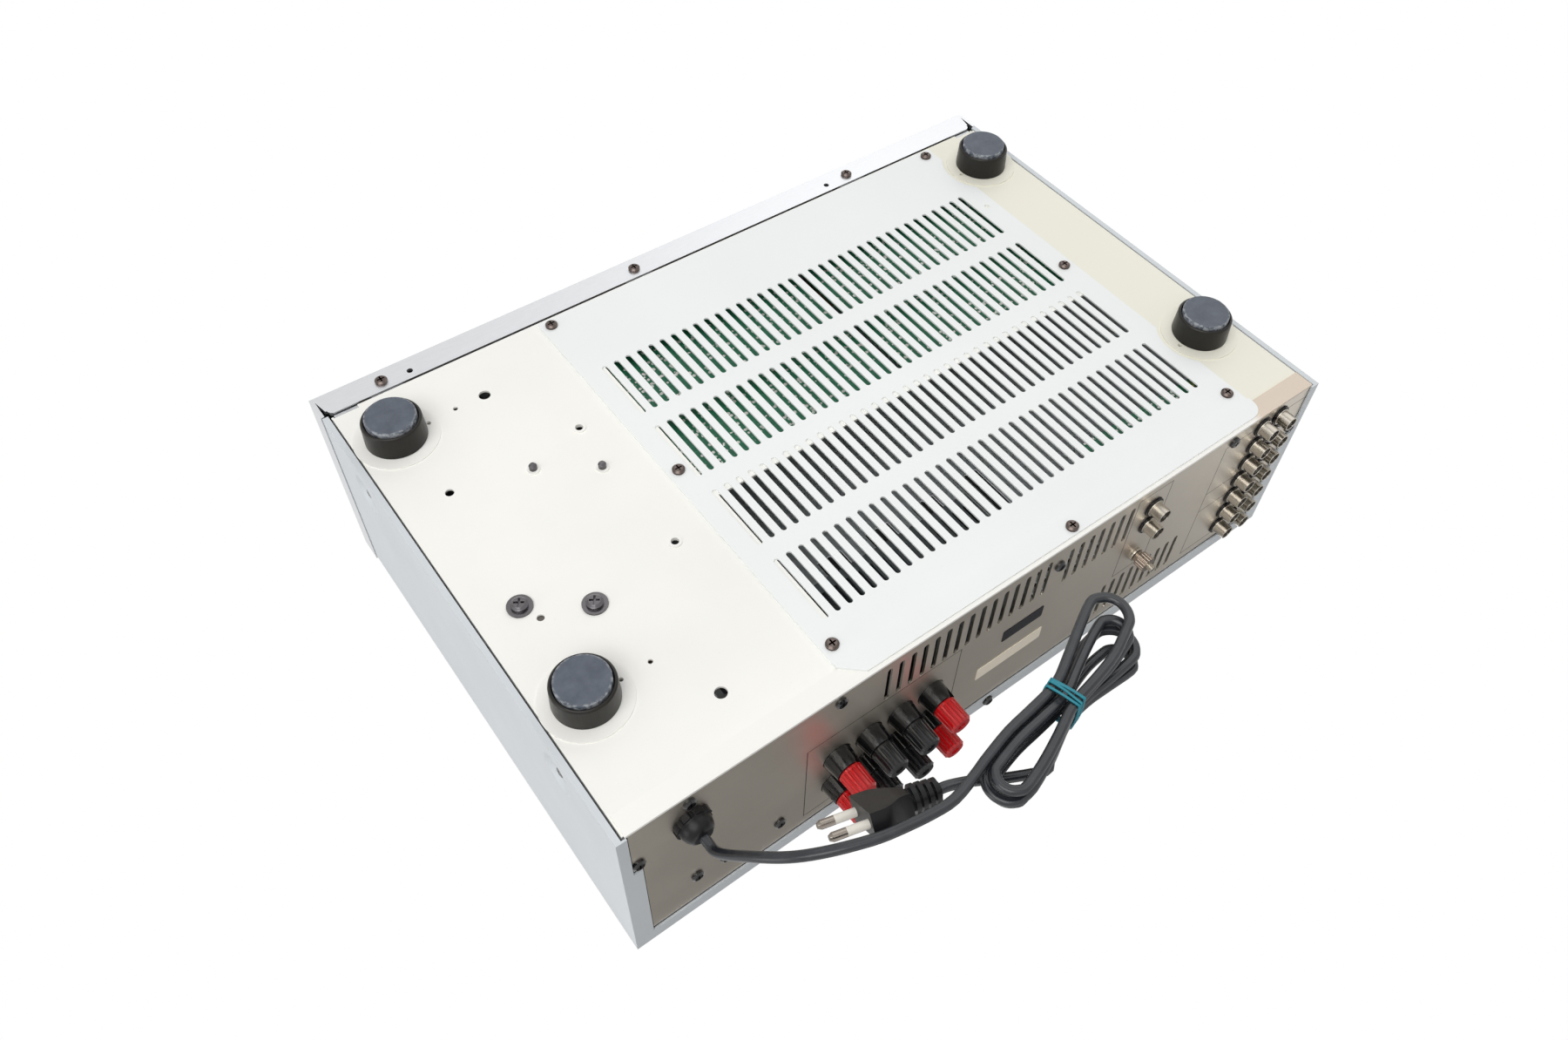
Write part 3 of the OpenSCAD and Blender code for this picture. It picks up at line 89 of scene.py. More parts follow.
def placed(name, data):
    """A new object in the scene with that mesh, curve, lamp or camera."""
    thing = bpy.data.objects.new(name, data)
    scene.collection.objects.link(thing)
    return thing


def only(*pieces):
    bpy.ops.object.select_all(action="DESELECT")
    for piece in pieces:
        piece.select_set(True)
    bpy.context.view_layer.objects.active = pieces[0]


def edit(piece):
    only(piece)
    bpy.ops.object.mode_set(mode="EDIT")


def done():
    bpy.ops.object.mode_set(mode="OBJECT")


def pick(piece, kind, test):
    """Opens the piece in edit mode and selects the edges or faces whose place passes the test."""
    edit(piece)
    bpy.ops.mesh.select_all(action="DESELECT")
    bpy.ops.mesh.select_mode(type={"edges": "EDGE", "faces": "FACE"}[kind])
    done()
    mesh = piece.data
    if kind == "edges":
        for e in mesh.edges:
            a, b = (mesh.vertices[i].co for i in e.vertices)
            e.select = bool(test(a, b))
    else:
        for f in mesh.polygons:
            f.select = bool(test(f.center, f.normal))
    edit(piece)


def modify(piece, kind, **settings):
    only(piece)
    modifier = piece.modifiers.new(kind.lower(), kind)
    for key, value in settings.items():
        setattr(modifier, key, value)
    bpy.ops.object.modifier_apply(modifier=modifier.name)


def smooth(piece, angle=40):
    """Smooth where faces meet at less than the angle; large flat faces keep their own normals."""
    only(piece)
    bpy.ops.object.shade_smooth_by_angle(angle=math.radians(angle))
    modify(piece, "WEIGHTED_NORMAL", keep_sharp=True, weight=80)


def soften(piece, width, segments=2, angle=40):
    """Breaks the sharp edges by that width in metres, then smooths."""
    modify(piece, "BEVEL", width=width, segments=segments, limit_method="ANGLE",
           angle_limit=EDGE_ANGLE, harden_normals=False, use_clamp_overlap=True)
    smooth(piece, angle)


def settle(piece):
    only(piece)
    bpy.ops.object.transform_apply(location=True, rotation=True, scale=True)


def moved(piece, matrix):
    piece.data.transform(matrix)
    piece.data.update()


def copied(piece, name, matrix):
    twin = placed(name, piece.data.copy())
    moved(twin, matrix)
    return twin


def as_mesh(thing):
    """The mesh that a curve or a text turns into."""
    only(thing)
    bpy.ops.object.convert(target="MESH")
    return bpy.context.active_object


def joined(pieces, name):
    only(*pieces)
    bpy.ops.object.join()
    pieces[0].name = name
    return pieces[0]


def named(name):
    piece = bpy.context.active_object
    piece.name = name
    piece.data.name = name
    return piece


def wears(piece, finish, body="case"):
    piece.data.materials.clear()
    piece.data.materials.append(finish)
    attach(piece, body)


def dressed(node, name, finish, width, body="case", segments=2, angle=40):
    """The node's own shape with its edges broken and its curves smooth."""
    piece = placed(name, nodes[node].data.copy())
    edit(piece)
    bpy.ops.mesh.customdata_custom_splitnormals_clear()
    bpy.ops.mesh.select_all(action="SELECT")
    bpy.ops.mesh.remove_doubles(threshold=WELD)
    bpy.ops.mesh.dissolve_limited(angle_limit=FLAT_ANGLE)
    done()
    soften(piece, width, segments, angle)
    wears(piece, finish, body)
    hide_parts(node)


def middle(node):
    low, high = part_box(node)
    return (Vector(low) + Vector(high)) / 2


def thin_box(name, low, high, width=0.0):
    """A thin piece between two points of the case, its edges broken by the width, all in mm."""
    a, b = at(*low), at(*high)
    bpy.ops.object.select_all(action="DESELECT")
    bpy.ops.mesh.primitive_cube_add(size=1, location=(a + b) / 2)
    piece = named(name)
    piece.scale = b - a
    settle(piece)
    if width:
        soften(piece, width * MM)
    return piece


def spun(piece, x, z, degrees):
    """The piece turned clockwise, as seen from the front, about that point of the case."""
    pivot = at(x, 0, z)
    turn = Matrix.Translation(pivot) @ Matrix.Rotation(math.radians(degrees), 4, "Y")
    moved(piece, turn @ Matrix.Translation(-pivot))
    return piece


# Shader words

class Value:
    """A shader value that takes plain arithmetic."""

    def __init__(self, owner, socket):
        self.owner, self.socket = owner, socket

    def maths(self, operation, *values):
        return self.owner.node("Math", dict(enumerate(values)), operation=operation)[0]

    def __add__(self, other): return self.maths("ADD", self, other)
    def __radd__(self, other): return self.maths("ADD", other, self)
    def __sub__(self, other): return self.maths("SUBTRACT", self, other)
    def __rsub__(self, other): return self.maths("SUBTRACT", other, self)
    def __mul__(self, other): return self.maths("MULTIPLY", self, other)
    def __rmul__(self, other): return self.maths("MULTIPLY", other, self)
    def __mod__(self, other): return self.maths("FLOORED_MODULO", self, other)
    def __rmod__(self, other): return self.maths("FLOORED_MODULO", other, self)
    def __abs__(self): return self.maths("ABSOLUTE", self)
    def __gt__(self, other): return self.maths("GREATER_THAN", self, other)
    def __lt__(self, other): return self.maths("LESS_THAN", self, other)

    def least(self, other): return self.maths("MINIMUM", self, other)
    def most(self, other): return self.maths("MAXIMUM", self, other)
    def root(self): return self.maths("SQRT", self)
    def ramp(self, low, high): return self.owner.node("MapRange", {0: self, 1: low, 2: high})[0]


class Nodes:
    """The nodes of the world or of a material."""

    def __init__(self, tree):
        self.tree = tree

    def node(self, kind, sockets={}, **settings):
        """A new node's outputs. Its settings come first, then its sockets' values or links."""
        made = self.tree.nodes.new("ShaderNode" + kind)
        for key, value in settings.items():
            setattr(made, key, value)
        for key, value in sockets.items():
            self.link(value, made.inputs[key])
        return [Value(self, out) for out in made.outputs]

    def facts(self, kind):
        """A new node's outputs by their names."""
        return {out.socket.name: out for out in self.node(kind)}

    def link(self, value, socket):
        if isinstance(value, Value):
            self.tree.links.new(value.socket, socket)
        elif isinstance(value, tuple) and len(value) == 3 and socket.type == "RGBA":
            socket.default_value = (*value, 1)
        else:
            socket.default_value = value


class Finish(Nodes):
    """A material: constants go on the shader's own sockets, the rest through node()."""

    def __init__(self, name, colour, **shader):
        self.material = bpy.data.materials.new(name)
        self.material.use_nodes = True
        super().__init__(self.material.node_tree)
        self.shader = self.tree.nodes["Principled BSDF"]
        self.shader.inputs["Base Color"].default_value = (*colour, 1)
        self.material.diffuse_color = (*colour, 1)
        for key, value in shader.items():
            self.shader.inputs[key.replace("_", " ")].default_value = value

    def place(self):
        return self.facts("TexCoord")["Object"]

    def axes(self):
        return self.node("SeparateXYZ", {0: self.place()})

    def noise(self, scale, detail=3, rough=0.5, stretch=None):
        place = self.place()
        if stretch:
            place = self.node("VectorMath", {0: place, 1: stretch}, operation="MULTIPLY")[0]
        return self.node("TexNoise", {"Vector": place, "Scale": scale, "Detail": detail,
                                      "Roughness": rough})[0]

    def mix(self, mask, low, high):
        return self.node("Mix", {0: mask, 6: low, 7: high}, data_type="RGBA")[2]

    def bump(self, height, strength, distance):
        out = self.node("Bump", {"Height": height, "Strength": strength, "Distance": distance})[0]
        self.link(out, self.shader.inputs["Normal"])

    def set(self, **values):
        for key, value in values.items():
            self.link(value, self.shader.inputs[key.replace("_", " ")])
        return self.material


def distance(u, v):
    return (u * u + v * v).root()


def nearest(u, v, points):
    """How far the nearest of the points is."""
    return reduce(Value.least, [distance(u - a, v - b) for a, b in points])


# Camera, fitted to the case's straight edges, its slot rows, feet and screws

camera = placed("camera", bpy.data.cameras.new("camera"))
scene.camera = camera
camera.data.sensor_width = 36
camera.data.lens = 28.847
camera.data.shift_x = -0.0287
camera.data.shift_y = -0.0199
camera.data.clip_start = 0.01
camera.matrix_world = Matrix((
    (0.792326, 0.452265, -0.409483, -0.2878),
    (0.608516, -0.634137, 0.477053, 0.33944),
    (-0.043914, -0.627158, -0.777653, -0.45619),
    (0, 0, 0, 1)))


# Power cord, in mm: x from the gland, y from the case's rear edge, z from the floor

GLAND_X = -182 * MM
# The cord's diameter, and the step from one layer of the hank up to the next
CORD_D = 4.8
LAYER = 5.3
# Its section: sides, the depth and width of the valley between its two cores, and its flatness
SECTION_SIDES, VALLEY, VALLEY_W, FLATNESS = 28, 0.17, 0.26, 0.93
# The hank's middle, its turn on the floor and its height above it
HANK_PLACE = (150, 60)
HANK_TURN = math.radians(-16)
HANK_UP = 1.3
# Half the hank's width at its ends and at its waist, and how far the waist reaches
END_W, WAIST_W, WAIST_L = 11, 6.7, 20
# The loops' reach to the left, each loop's reach to the right, how far each leans over there,
# and how much more so at its fold
LEFT_RUN, RIGHT_RUNS, FANS, FOLD_FAN = 45, (46, 43, 40, 38), (-5, -1, 3, 6), 0.8
# Counted in loops: where the hank starts and ends, what one straight run takes up,
# and where and how fast the cord climbs to the next layer
START_T, END_T, RUN = -0.12, 3.56, 0.12
CLIMBS, CLIMB_L = (0.9, 1.9, 2.9), 0.2
# The points of one loop, and how many the smooth curve makes of each point
LOOP_STEPS, CURVE_STEPS = 24, 3
# The straight stretch before the hank, and the way and place in which the cord meets the plug
RUN_IN = 5
PLUG_TURN, PLUG_END = math.radians(15.3), Vector((83, 57, 14))
LEAD_ROUTE = [
    (0, 9, 36.8), (0, 14, 36.8), (0.2, 17, 35.8), (1, 20.5, 32.8), (2.6, 25, 27.8),
    (5.4, 31, 21.2), (9, 37.5, 14.8), (14, 44, 9.6), (20, 49.5, 5.8), (28, 54.5, 3.3),
    (37, 58.5, 2.5), (47, 62, 2.5), (58, 64.5, 2.6), (70, 66.5, 2.8), (81, 67, 3.3)]
TAIL_ROUTE = [(114, 69.5, 19.8), (105, 65.2, 18.4), (97, 61.6, 16)]
along = Vector((math.cos(HANK_TURN), math.sin(HANK_TURN), 0))
across = Vector((-math.sin(HANK_TURN), math.cos(HANK_TURN), 0))


def ease(x):
    """A smooth step from 0 to 1."""
    c = min(1, max(0, x))
    return c * c * (3 - 2 * c)


def spiral(t):
    """How far in the cord lies: from 0 to 1 over one loop, and back over the next."""
    return t if t < 0 else 1 - abs(t - 2 * math.floor(t / 2) - 1)


def layer(t):
    """How many layers the cord has climbed after t loops."""
    return sum(ease((t - start) / CLIMB_L) for start in CLIMBS)


def hank_point(t):
    """The cord's middle after t loops of the hank."""
    q = t - math.floor(t)
    loop = min(3, max(0, math.floor(t)))
    run, fan = RIGHT_RUNS[loop], FANS[loop]
    w = END_W - LAYER * spiral(t)

    def width(u):
        return w - (END_W - WAIST_W) * math.exp(-(u / WAIST_L) ** 2)

    def lean(u):
        return fan * (u / run) ** 2 if u > 0 else 0

    if q < RUN:
        u = run * q / RUN
        v = -width(u) + lean(u)
    elif q < 0.5 - RUN:
        a = math.radians(-90 + 180 * (q - RUN) / (0.5 - 2 * RUN))
        u = run + w * math.cos(a)
        v = w * math.sin(a) + fan * (1 + FOLD_FAN * w * math.cos(a) / run)
    elif q < 0.5:
        u = run * (0.5 - q) / RUN
        v = width(u) + lean(u)
    elif q < 0.5 + RUN:
        u = -LEFT_RUN * (q - 0.5) / RUN
        v = width(u)
    elif q < 1 - RUN:
        a = math.radians(90 + 180 * (q - 0.5 - RUN) / (0.5 - 2 * RUN))
        u, v = -LEFT_RUN + w * math.cos(a), w * math.sin(a)
    else:
        u = -LEFT_RUN * (1 - q) / RUN
        v = -width(u)
    return Vector((*HANK_PLACE, CORD_D / 2 + HANK_UP + LAYER * layer(t))) + u * along + v * across


def finer(points, steps):
    """The same line with more points on a smooth curve through them."""
    out = []
    for i in range(len(points) - 1):
        a, b = points[max(i - 1, 0)], points[i]
        c, d = points[i + 1], points[min(i + 2, len(points) - 1)]
        for k in range(steps):
            s = k / steps
            out.append(0.5 * (2 * b + (c - a) * s + (2 * a - 5 * b + 4 * c - d) * s ** 2
                              + (3 * b - a - 3 * c + d) * s ** 3))
    return out + [points[-1]]


def on_floor(point):
    """A point of the cord's route in metres, in the frame."""
    return Vector((point[0] * MM + GLAND_X, point[1] * MM + REAR_Y, point[2] * MM))


def twin_outline():
    """The cord's section: two cores side by side, with a shallow valley between them."""
    outline = bpy.data.curves.new("cord_section", "CURVE")
    loop = outline.splines.new("POLY")
    loop.use_cyclic_u = True
    loop.points.add(SECTION_SIDES - 1)
    for k, point in enumerate(loop.points):
        a = 2 * math.pi * k / SECTION_SIDES
        r = CORD_D / 2 * MM * (1 - VALLEY * math.exp(-(math.cos(a) / VALLEY_W) ** 2))
        point.co = (r * math.cos(a), FLATNESS * r * math.sin(a), 0, 1)
    return placed("cord_section", outline)


hank = [hank_point(START_T + i / LOOP_STEPS)
        for i in range(int((END_T - START_T) * LOOP_STEPS) + 1)]
heading = (hank[-1] - hank[-2]).normalized()
flat_heading = Vector((heading.x, heading.y, 0))
hank_first = hank[0] - CORD_D * along
hank_last = hank[-1] + CORD_D * flat_heading
plug_way = Vector((math.cos(PLUG_TURN), math.sin(PLUG_TURN), 0))
route = [Vector(p) for p in LEAD_ROUTE]
route += [hank_first - RUN_IN * along, hank_first] + hank
route += [hank_last, hank_last + CORD_D * heading]
route += [Vector(p) for p in TAIL_ROUTE] + [PLUG_END + CORD_D * plug_way, PLUG_END]

# The hank's widest loop stays inside the solid's own box
HANK_REACH = cad_box[1][1] - CORD_D / 2 * MM
cord_line = [on_floor(p) for p in finer(route, CURVE_STEPS)]
for place in cord_line:
    place.y = min(place.y, HANK_REACH)
curve = bpy.data.curves.new("power_cord", "CURVE")
curve.dimensions = "3D"
curve.bevel_mode = "OBJECT"
curve.bevel_object = twin_outline()
curve.twist_mode = "Z_UP"
curve.use_fill_caps = True
spline = curve.splines.new("POLY")
spline.points.add(len(cord_line) - 1)
for point, place in zip(spline.points, cord_line):
    point.co = (*place, 1)
as_mesh(placed("power_cord", curve))
power_cord = named("power_cord")
bpy.data.objects.remove(bpy.data.objects["cord_section"])
smooth(power_cord, TUBE_ANGLE)


# Light and floor

def lamp(name, place, target, size, power):
    light = bpy.data.lights.new(name, "AREA")
    light.shape = "SQUARE"
    light.size = size
    light.energy = power
    holder = placed(name, light)
    holder.location = place
    holder.rotation_euler = (Vector(target) - Vector(place)).to_track_quat("-Z", "Y").to_euler()


lamp("under_lamp", (-0.9, 0.5, -1.5), (0, 0, 0.02), 1.4, 19.5)
lamp("under_fill", (0.9, -0.5, -1.3), (0, 0, 0.02), 1.6, 7)
lamp("side_lamp", (-2.6, 0.0, 0.0), (0, 0, 0.05), 1.4, 13)
lamp("top_lamp", (0.7, -0.6, 1.7), (0, 0, 0.05), 1.3, 12)
lamp("back_lamp", (-0.3, 1.8, 0.9), (0, 0, 0.05), 1.3, 2)
lamp("front_lamp", (0.9, -2.2, 0.9), (0, 0, 0.05), 1.2, 6)

# The world is white to the camera, and to metal all round but for this side, above and behind
# the case. Nearness to the side, as a cosine, takes what metal mirrors from full to dim
DIM_SIDE = Vector((0.30, 0.32, 0.90)).normalized()
DIM_FROM, DIM_TO, FULL, DIM = 0.88, 0.97, 1, 0.15
# The world's light on everything else
PLAIN_LIGHT = 0.42

world = bpy.data.worlds.new("studio")
scene.world = world
world.use_nodes = True
sky = Nodes(world.node_tree)
rays = sky.facts("LightPath")
seen = rays["Is Camera Ray"].most(rays["Is Transmission Ray"])
glossy = rays["Is Glossy Ray"]
facing = sky.node("VectorMath", {0: sky.facts("TexCoord")["Generated"], 1: DIM_SIDE},
                  operation="DOT_PRODUCT")[1]
mirrored = sky.node("MapRange", {0: facing, 1: DIM_FROM, 2: DIM_TO, 3: FULL, 4: DIM},
                    interpolation_type="SMOOTHSTEP")[0]
level = seen.most(glossy * mirrored).most((1 - glossy) * PLAIN_LIGHT)
background = sky.tree.nodes["Background"]
sky.link(level, background.inputs["Strength"])
sky.link((1, 1, 1), background.inputs["Color"])


def one_sided(name, colour):
    """A matt surface for the stage, which only the camera sees and only from its front."""
    f = Finish(name, colour, Roughness=0.9)
    show = f.facts("LightPath")["Is Camera Ray"] * (1 - f.facts("NewGeometry")["Backfacing"])
    clear = f.node("BsdfTransparent")[0]
    blend = f.node("MixShader", {0: show, 1: clear, 2: Value(f, f.shader.outputs[0])})[0]
    f.link(blend, f.tree.nodes["Material Output"].inputs["Surface"])
    return f.material


def stage_plane(name, size, place):
    bpy.ops.mesh.primitive_plane_add(size=1, location=place)
    plane = named(name)
    plane.scale = (*size, 1)
    settle(plane)
    return plane


FLOOR_SIZE, FLOOR_DROP = 8, 0.0004
floor = stage_plane("floor", (FLOOR_SIZE, FLOOR_SIZE), (0, 0, -FLOOR_DROP))
floor.data.materials.append(one_sided("floor_paper", (0.93, 0.93, 0.93)))

# What lies behind the slots of the top cover: the table the case lies on, near black as painted
# shade for the shadow under the case, shown only to a camera below it
TABLE_SIZE, TABLE_GAP = (420 * MM, 270 * MM), 0.15
table = stage_plane("table", TABLE_SIZE, at(0, FRONT / 2, COVER_TOP + TABLE_GAP))
edit(table)
bpy.ops.mesh.select_all(action="SELECT")
bpy.ops.mesh.flip_normals()
done()
# Its near black colour is painted shade
table.data.materials.append(one_sided("table_shade", (0.03, 0.03, 0.03)))


# Finishes

# The paint and the fold yellow towards this edge of the case: where that starts and is full
STRIP_X = (0.166, 0.172)


def enamel(name, colour, rough=0.42, peel=0.05, cloud=0.03, edge=None):
    """Sprayed enamel on sheet: orange peel, faint clouds and a few fine specks."""
    f = Finish(name, colour, Specular_IOR_Level=0.4)
    cloudy = f.noise(9, 4)
    specks = f.noise(900, 2).ramp(0.70, 0.78)
    dark = tuple(c * (1 - cloud * 2) for c in colour)
    tone = f.mix(cloudy.ramp(0.35, 0.7), colour, dark)
    tone = f.mix(specks * 0.25, tone, tuple(c * 0.75 for c in colour))
    if edge:
        mask, shade = edge(f)
        tone = f.mix(mask, tone, shade)
    f.bump(f.noise(1500, 2), peel, 0.0002)
    return f.set(Base_Color=tone, Roughness=rough + f.noise(60, 3) * 0.12)


def right_strip(f):
    x = f.axes()[0]
    return x.ramp(*STRIP_X) * 0.85, (0.83, 0.81, 0.69)


def plated(name, colour, rough, cloud=0.15):
    """Bare plated steel: soft mirror, long faint grain and cloudy patches."""
    f = Finish(name, colour, Metallic=1.0)
    grain = f.noise(60, 4, 0.6, (1, 1, 14))
    cloudy = f.noise(14, 5, 0.6)
    tone = f.mix(cloudy.ramp(0.3, 0.75) * cloud * 4, colour, tuple(c * 0.82 for c in colour))
    tone = f.mix(grain.ramp(0.45, 0.8) * 0.12, tone, tuple(c * 1.15 for c in colour))
    f.bump(f.noise(700, 2), 0.06, 0.0002)
    return f.set(Base_Color=tone, Roughness=rough + cloudy * 0.12 + grain * 0.06)


# Printed outlines on the rear panel, in mm: low x, high x, low z and high z of each box,
# the line's width, and how deep behind the case's rear edge the print still shows
BOXES = [(-120.8, -29.9, 33.3, 98.5), (82, 106, 4, 67.6),
         (147, 260, 7.6, 98.9), (147, 260, 45.4, 60.6)]
LINE_W, PRINT_DEEP = 0.55, 1.6
# The height up to which the rear panel counts as its fold under the case
FOLD_Z = 0.25
# Painted shade round the rear panel, for the shadow in the gap beside the cover: above this
# height, and further out than this, or than the cover's flanges where they start
GAP_SHADE_Z, GAP_SHADE_X = 105.4, 210.6
FLANGE_X, FLANGE_Z = 206.2, 35.2


def box_line(x, z, box):
    """A mask for the outline of a box drawn on the rear panel."""
    x0, x1, z0, z1 = (v * MM for v in box)
    half_x, half_z = (x1 - x0) / 2, (z1 - z0) / 2
    off_x = abs(x - (x0 + x1) / 2) - half_x
    off_z = abs(z - (FEET_Z + (z0 + z1) / 2)) - half_z
    return abs(off_x.most(off_z)) < LINE_W / 2 * MM


def rear_sheet_steel(name, colour, rough):
    """Warm plated steel: a soft mirror, faint rolling lines, stains and printed outlines, with
    painted shade at its edges beside the cover and painted light on its fold under the case.
    """
    f = Finish(name, colour, Metallic=1.0)
    x, y, z = f.axes()[:3]
    lines = reduce(Value.most, [box_line(x, z, box) for box in BOXES])
    lines = lines * (y > REAR_Y - PRINT_DEEP * MM)
    fold = z < FEET_Z + FOLD_Z * MM
    up, out = z - FEET_Z, abs(x)
    corner = (out > FLANGE_X * MM) * (up > FLANGE_Z * MM)
    # Painted shade: near black on the panel's edges beside the cover, where shade falls in the gap
    # between them
    gap_shade = (up > GAP_SHADE_Z * MM).most(out > GAP_SHADE_X * MM).most(corner) * (1 - fold)
    # Painted light: the fold under the case is light cream and not metal, lighter than the panel
    # because it faces down to the lamps; towards the right edge it yellows
    fold_light_and_yellowing = f.mix(x.ramp(*STRIP_X), (0.90, 0.885, 0.84), (0.70, 0.595, 0.49))
    grain = f.noise(60, 4, 0.6, (1, 1, 14))
    stain = f.noise(16, 5, 0.62)
    tone = f.mix(stain.ramp(0.35, 0.75) * 0.5, colour, tuple(c * 0.84 for c in colour))
    tone = f.mix(grain.ramp(0.45, 0.8) * 0.12, tone, tuple(min(1, c * 1.15) for c in colour))
    tone = f.mix(lines * 0.85, tone, (0.03, 0.026, 0.022))
    tone = f.mix(gap_shade, f.mix(fold, tone, fold_light_and_yellowing), (0.008, 0.008, 0.008))
    f.bump(f.noise(500, 3), 0.05, 0.0002)
    return f.set(Base_Color=tone, Metallic=1 - fold,
                 Roughness=rough + stain * 0.14 + grain * 0.05 + fold * 0.15)


def brushed(name, colour, rough):
    """Aluminium with brush lines and a clear anodised surface."""
    f = Finish(name, colour, Metallic=1.0)
    lines = f.noise(70, 3, 0.7, (2, 90, 90))
    tone = f.mix(lines.ramp(0.3, 0.7), tuple(c * 0.9 for c in colour), colour)
    f.bump(lines, 0.12, 0.0001)
    return f.set(Base_Color=tone, Roughness=rough + lines * 0.14)


# The knobs in mm: middle x and z on the case, diameter, and depth from back to face
KNOBS = {"volume": (158, 60, 58, 19), "input": (92, 60, 38, 17), "bass": (-96, 34, 24, 14),
         "treble": (-48, 34, 24, 14), "balance": (0, 34, 24, 14)}


def turned_metal(name, colour, rough):
    """Aluminium off a lathe: fine rings round each knob's own middle, and broader ones."""
    f = Finish(name, colour, Metallic=1.0)
    x, _, z = f.axes()[:3]
    near = nearest(x, z, [(knob[0] * MM, FEET_Z + knob[1] * MM) for knob in KNOBS.values()])
    rings, broad = (f.node("TexNoise", {"W": near, "Scale": scale, "Detail": 2},
                           noise_dimensions="1D")[0] for scale in (9000, 700))
    tone = f.mix(rings.ramp(0.3, 0.7), tuple(c * 0.88 for c in colour), colour)
    tone = f.mix(broad.ramp(0.4, 0.7) * 0.3, tone, tuple(c * 0.93 for c in colour))
    f.bump(rings, 0.10, 0.0001)
    return f.set(Base_Color=tone, Roughness=rough + rings * 0.14)


# The speaker caps stand in a grid, this far apart across and up, and each has this many grooves
# in its wall, which is all that lies further than this from its middle
CAP_PITCH, CAP_ROWS, CAP_GROOVES, CAP_WALL = 19 * MM, 25 * MM, 16, 4.9 * MM


def cap_grooves(f):
    """A mask for the grooves in the walls of the speaker caps."""
    first = middle("terminal_cap_1")
    x, _, z = f.axes()[:3]
    dx = (x - (first.x - CAP_PITCH / 2)) % CAP_PITCH - CAP_PITCH / 2
    dz = (z - (first.z - CAP_ROWS / 2)) % CAP_ROWS - CAP_ROWS / 2
    turn = dz.maths("ARCTAN2", dz, dx) * CAP_GROOVES
    return turn.maths("COSINE", turn).ramp(-0.1, 0.8) * (distance(dx, dz) > CAP_WALL)


def ribbed(name, colour, groove_shade, rough):
    """Glossy plastic with duller grooves, painted darker as painted shade in them."""
    f = Finish(name, colour, Specular_IOR_Level=0.45)
    low = cap_grooves(f)
    cloud = f.noise(160, 4)
    # Painted shade: the grooves take the darker colour, as shade falls in them
    tone = f.mix(low, f.mix(cloud, tuple(c * 0.85 for c in colour), colour), groove_shade)
    f.bump(f.noise(1200, 2) * 0.2 - low, 0.35, 0.0004)
    return f.set(Base_Color=tone, Roughness=rough + low * 0.4 + cloud * 0.05)


def moulded(name, colour, rough, gloss=0.0, wear=0.15, specular=0.3):
    """Moulded plastic: a fine skin and slight wear in pale patches at random."""
    f = Finish(name, colour, Coat_Weight=gloss, Coat_Roughness=0.12, Specular_IOR_Level=specular)
    scuffs = f.noise(160, 5, 0.7).ramp(0.55, 0.8)
    tone = f.mix(scuffs * wear, colour, tuple(min(1, c * 1.6 + 0.012) for c in colour))
    f.bump(f.noise(1200, 2), 0.05, 0.0002)
    return f.set(Base_Color=tone, Roughness=rough + scuffs * 0.18)


# The heat sink's fins show their own pale colour this far in from their back; elsewhere they are
# painted near black as painted shade
PALE_BACK_DEPTH = 2.5


def fin_finish():
    """Fins in their own pale grey-teal at the back, and painted near black elsewhere, as painted
    shade inside the case.
    """
    f = Finish("fin_aluminium", (0.045, 0.055, 0.058))
    y = f.axes()[1]
    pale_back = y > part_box("heat_sink")[1][1] - PALE_BACK_DEPTH * MM
    grain = f.noise(60, 4, 0.6, (1, 1, 12))
    # Painted shade: the fins are near black except at the back, which keeps their own pale colour
    tone = f.mix(pale_back, f.mix(grain, (0.032, 0.040, 0.043), (0.06, 0.072, 0.076)),
                 f.mix(grain, (0.55, 0.64, 0.66), (0.70, 0.78, 0.79)))
    f.bump(grain, 0.1, 0.0002)
    return f.set(Base_Color=tone, Metallic=pale_back * 0.3, Roughness=0.48 + grain * 0.12)


FEET = ["front_left", "front_right", "rear_left", "rear_right"]
# The worn rim of a foot pad: how far out from the foot's middle it is full, and how wide
RIM_R, RIM_W = 0.0125, 0.0011


def slate_pad():
    """Grey rubber, blotched, with a pale worn rim on each of the four pads."""
    f = Finish("slate_pad", (0.08, 0.095, 0.12))
    blotch = f.noise(120, 6, 0.65)
    x, y = f.axes()[:2]
    rim = nearest(x, y, [middle("foot_" + foot)[:2] for foot in FEET]).ramp(RIM_R - RIM_W, RIM_R)
    tone = f.mix(blotch.ramp(0.35, 0.7), (0.060, 0.072, 0.095), (0.105, 0.122, 0.15))
    tone = f.mix(rim * f.noise(500, 3).ramp(0.42, 0.58) * 0.75, tone, (0.42, 0.44, 0.46))
    f.bump(f.noise(900, 4), 0.12, 0.0003)
    return f.set(Base_Color=tone, Roughness=0.45 + blotch * 0.2)


def cord_rubber():
    f = Finish("cord_rubber", (0.018, 0.021, 0.025), Specular_IOR_Level=0.5)
    dust = f.noise(140, 5, 0.7)
    tone = f.mix(dust.ramp(0.45, 0.8) * 0.5, (0.014, 0.016, 0.020), (0.042, 0.047, 0.054))
    f.bump(f.noise(600, 3), 0.06, 0.0003)
    return f.set(Base_Color=tone, Roughness=0.24 + dust * 0.14)


def band_rubber():
    f = Finish("band_rubber", (0.007, 0.20, 0.26))
    cloud = f.noise(300, 3)
    tone = f.mix(cloud, (0.003, 0.155, 0.22), (0.011, 0.245, 0.30))
    f.bump(f.noise(2500, 2), 0.1, 0.0002)
    return f.set(Base_Color=tone, Roughness=0.38 + cloud * 0.2)


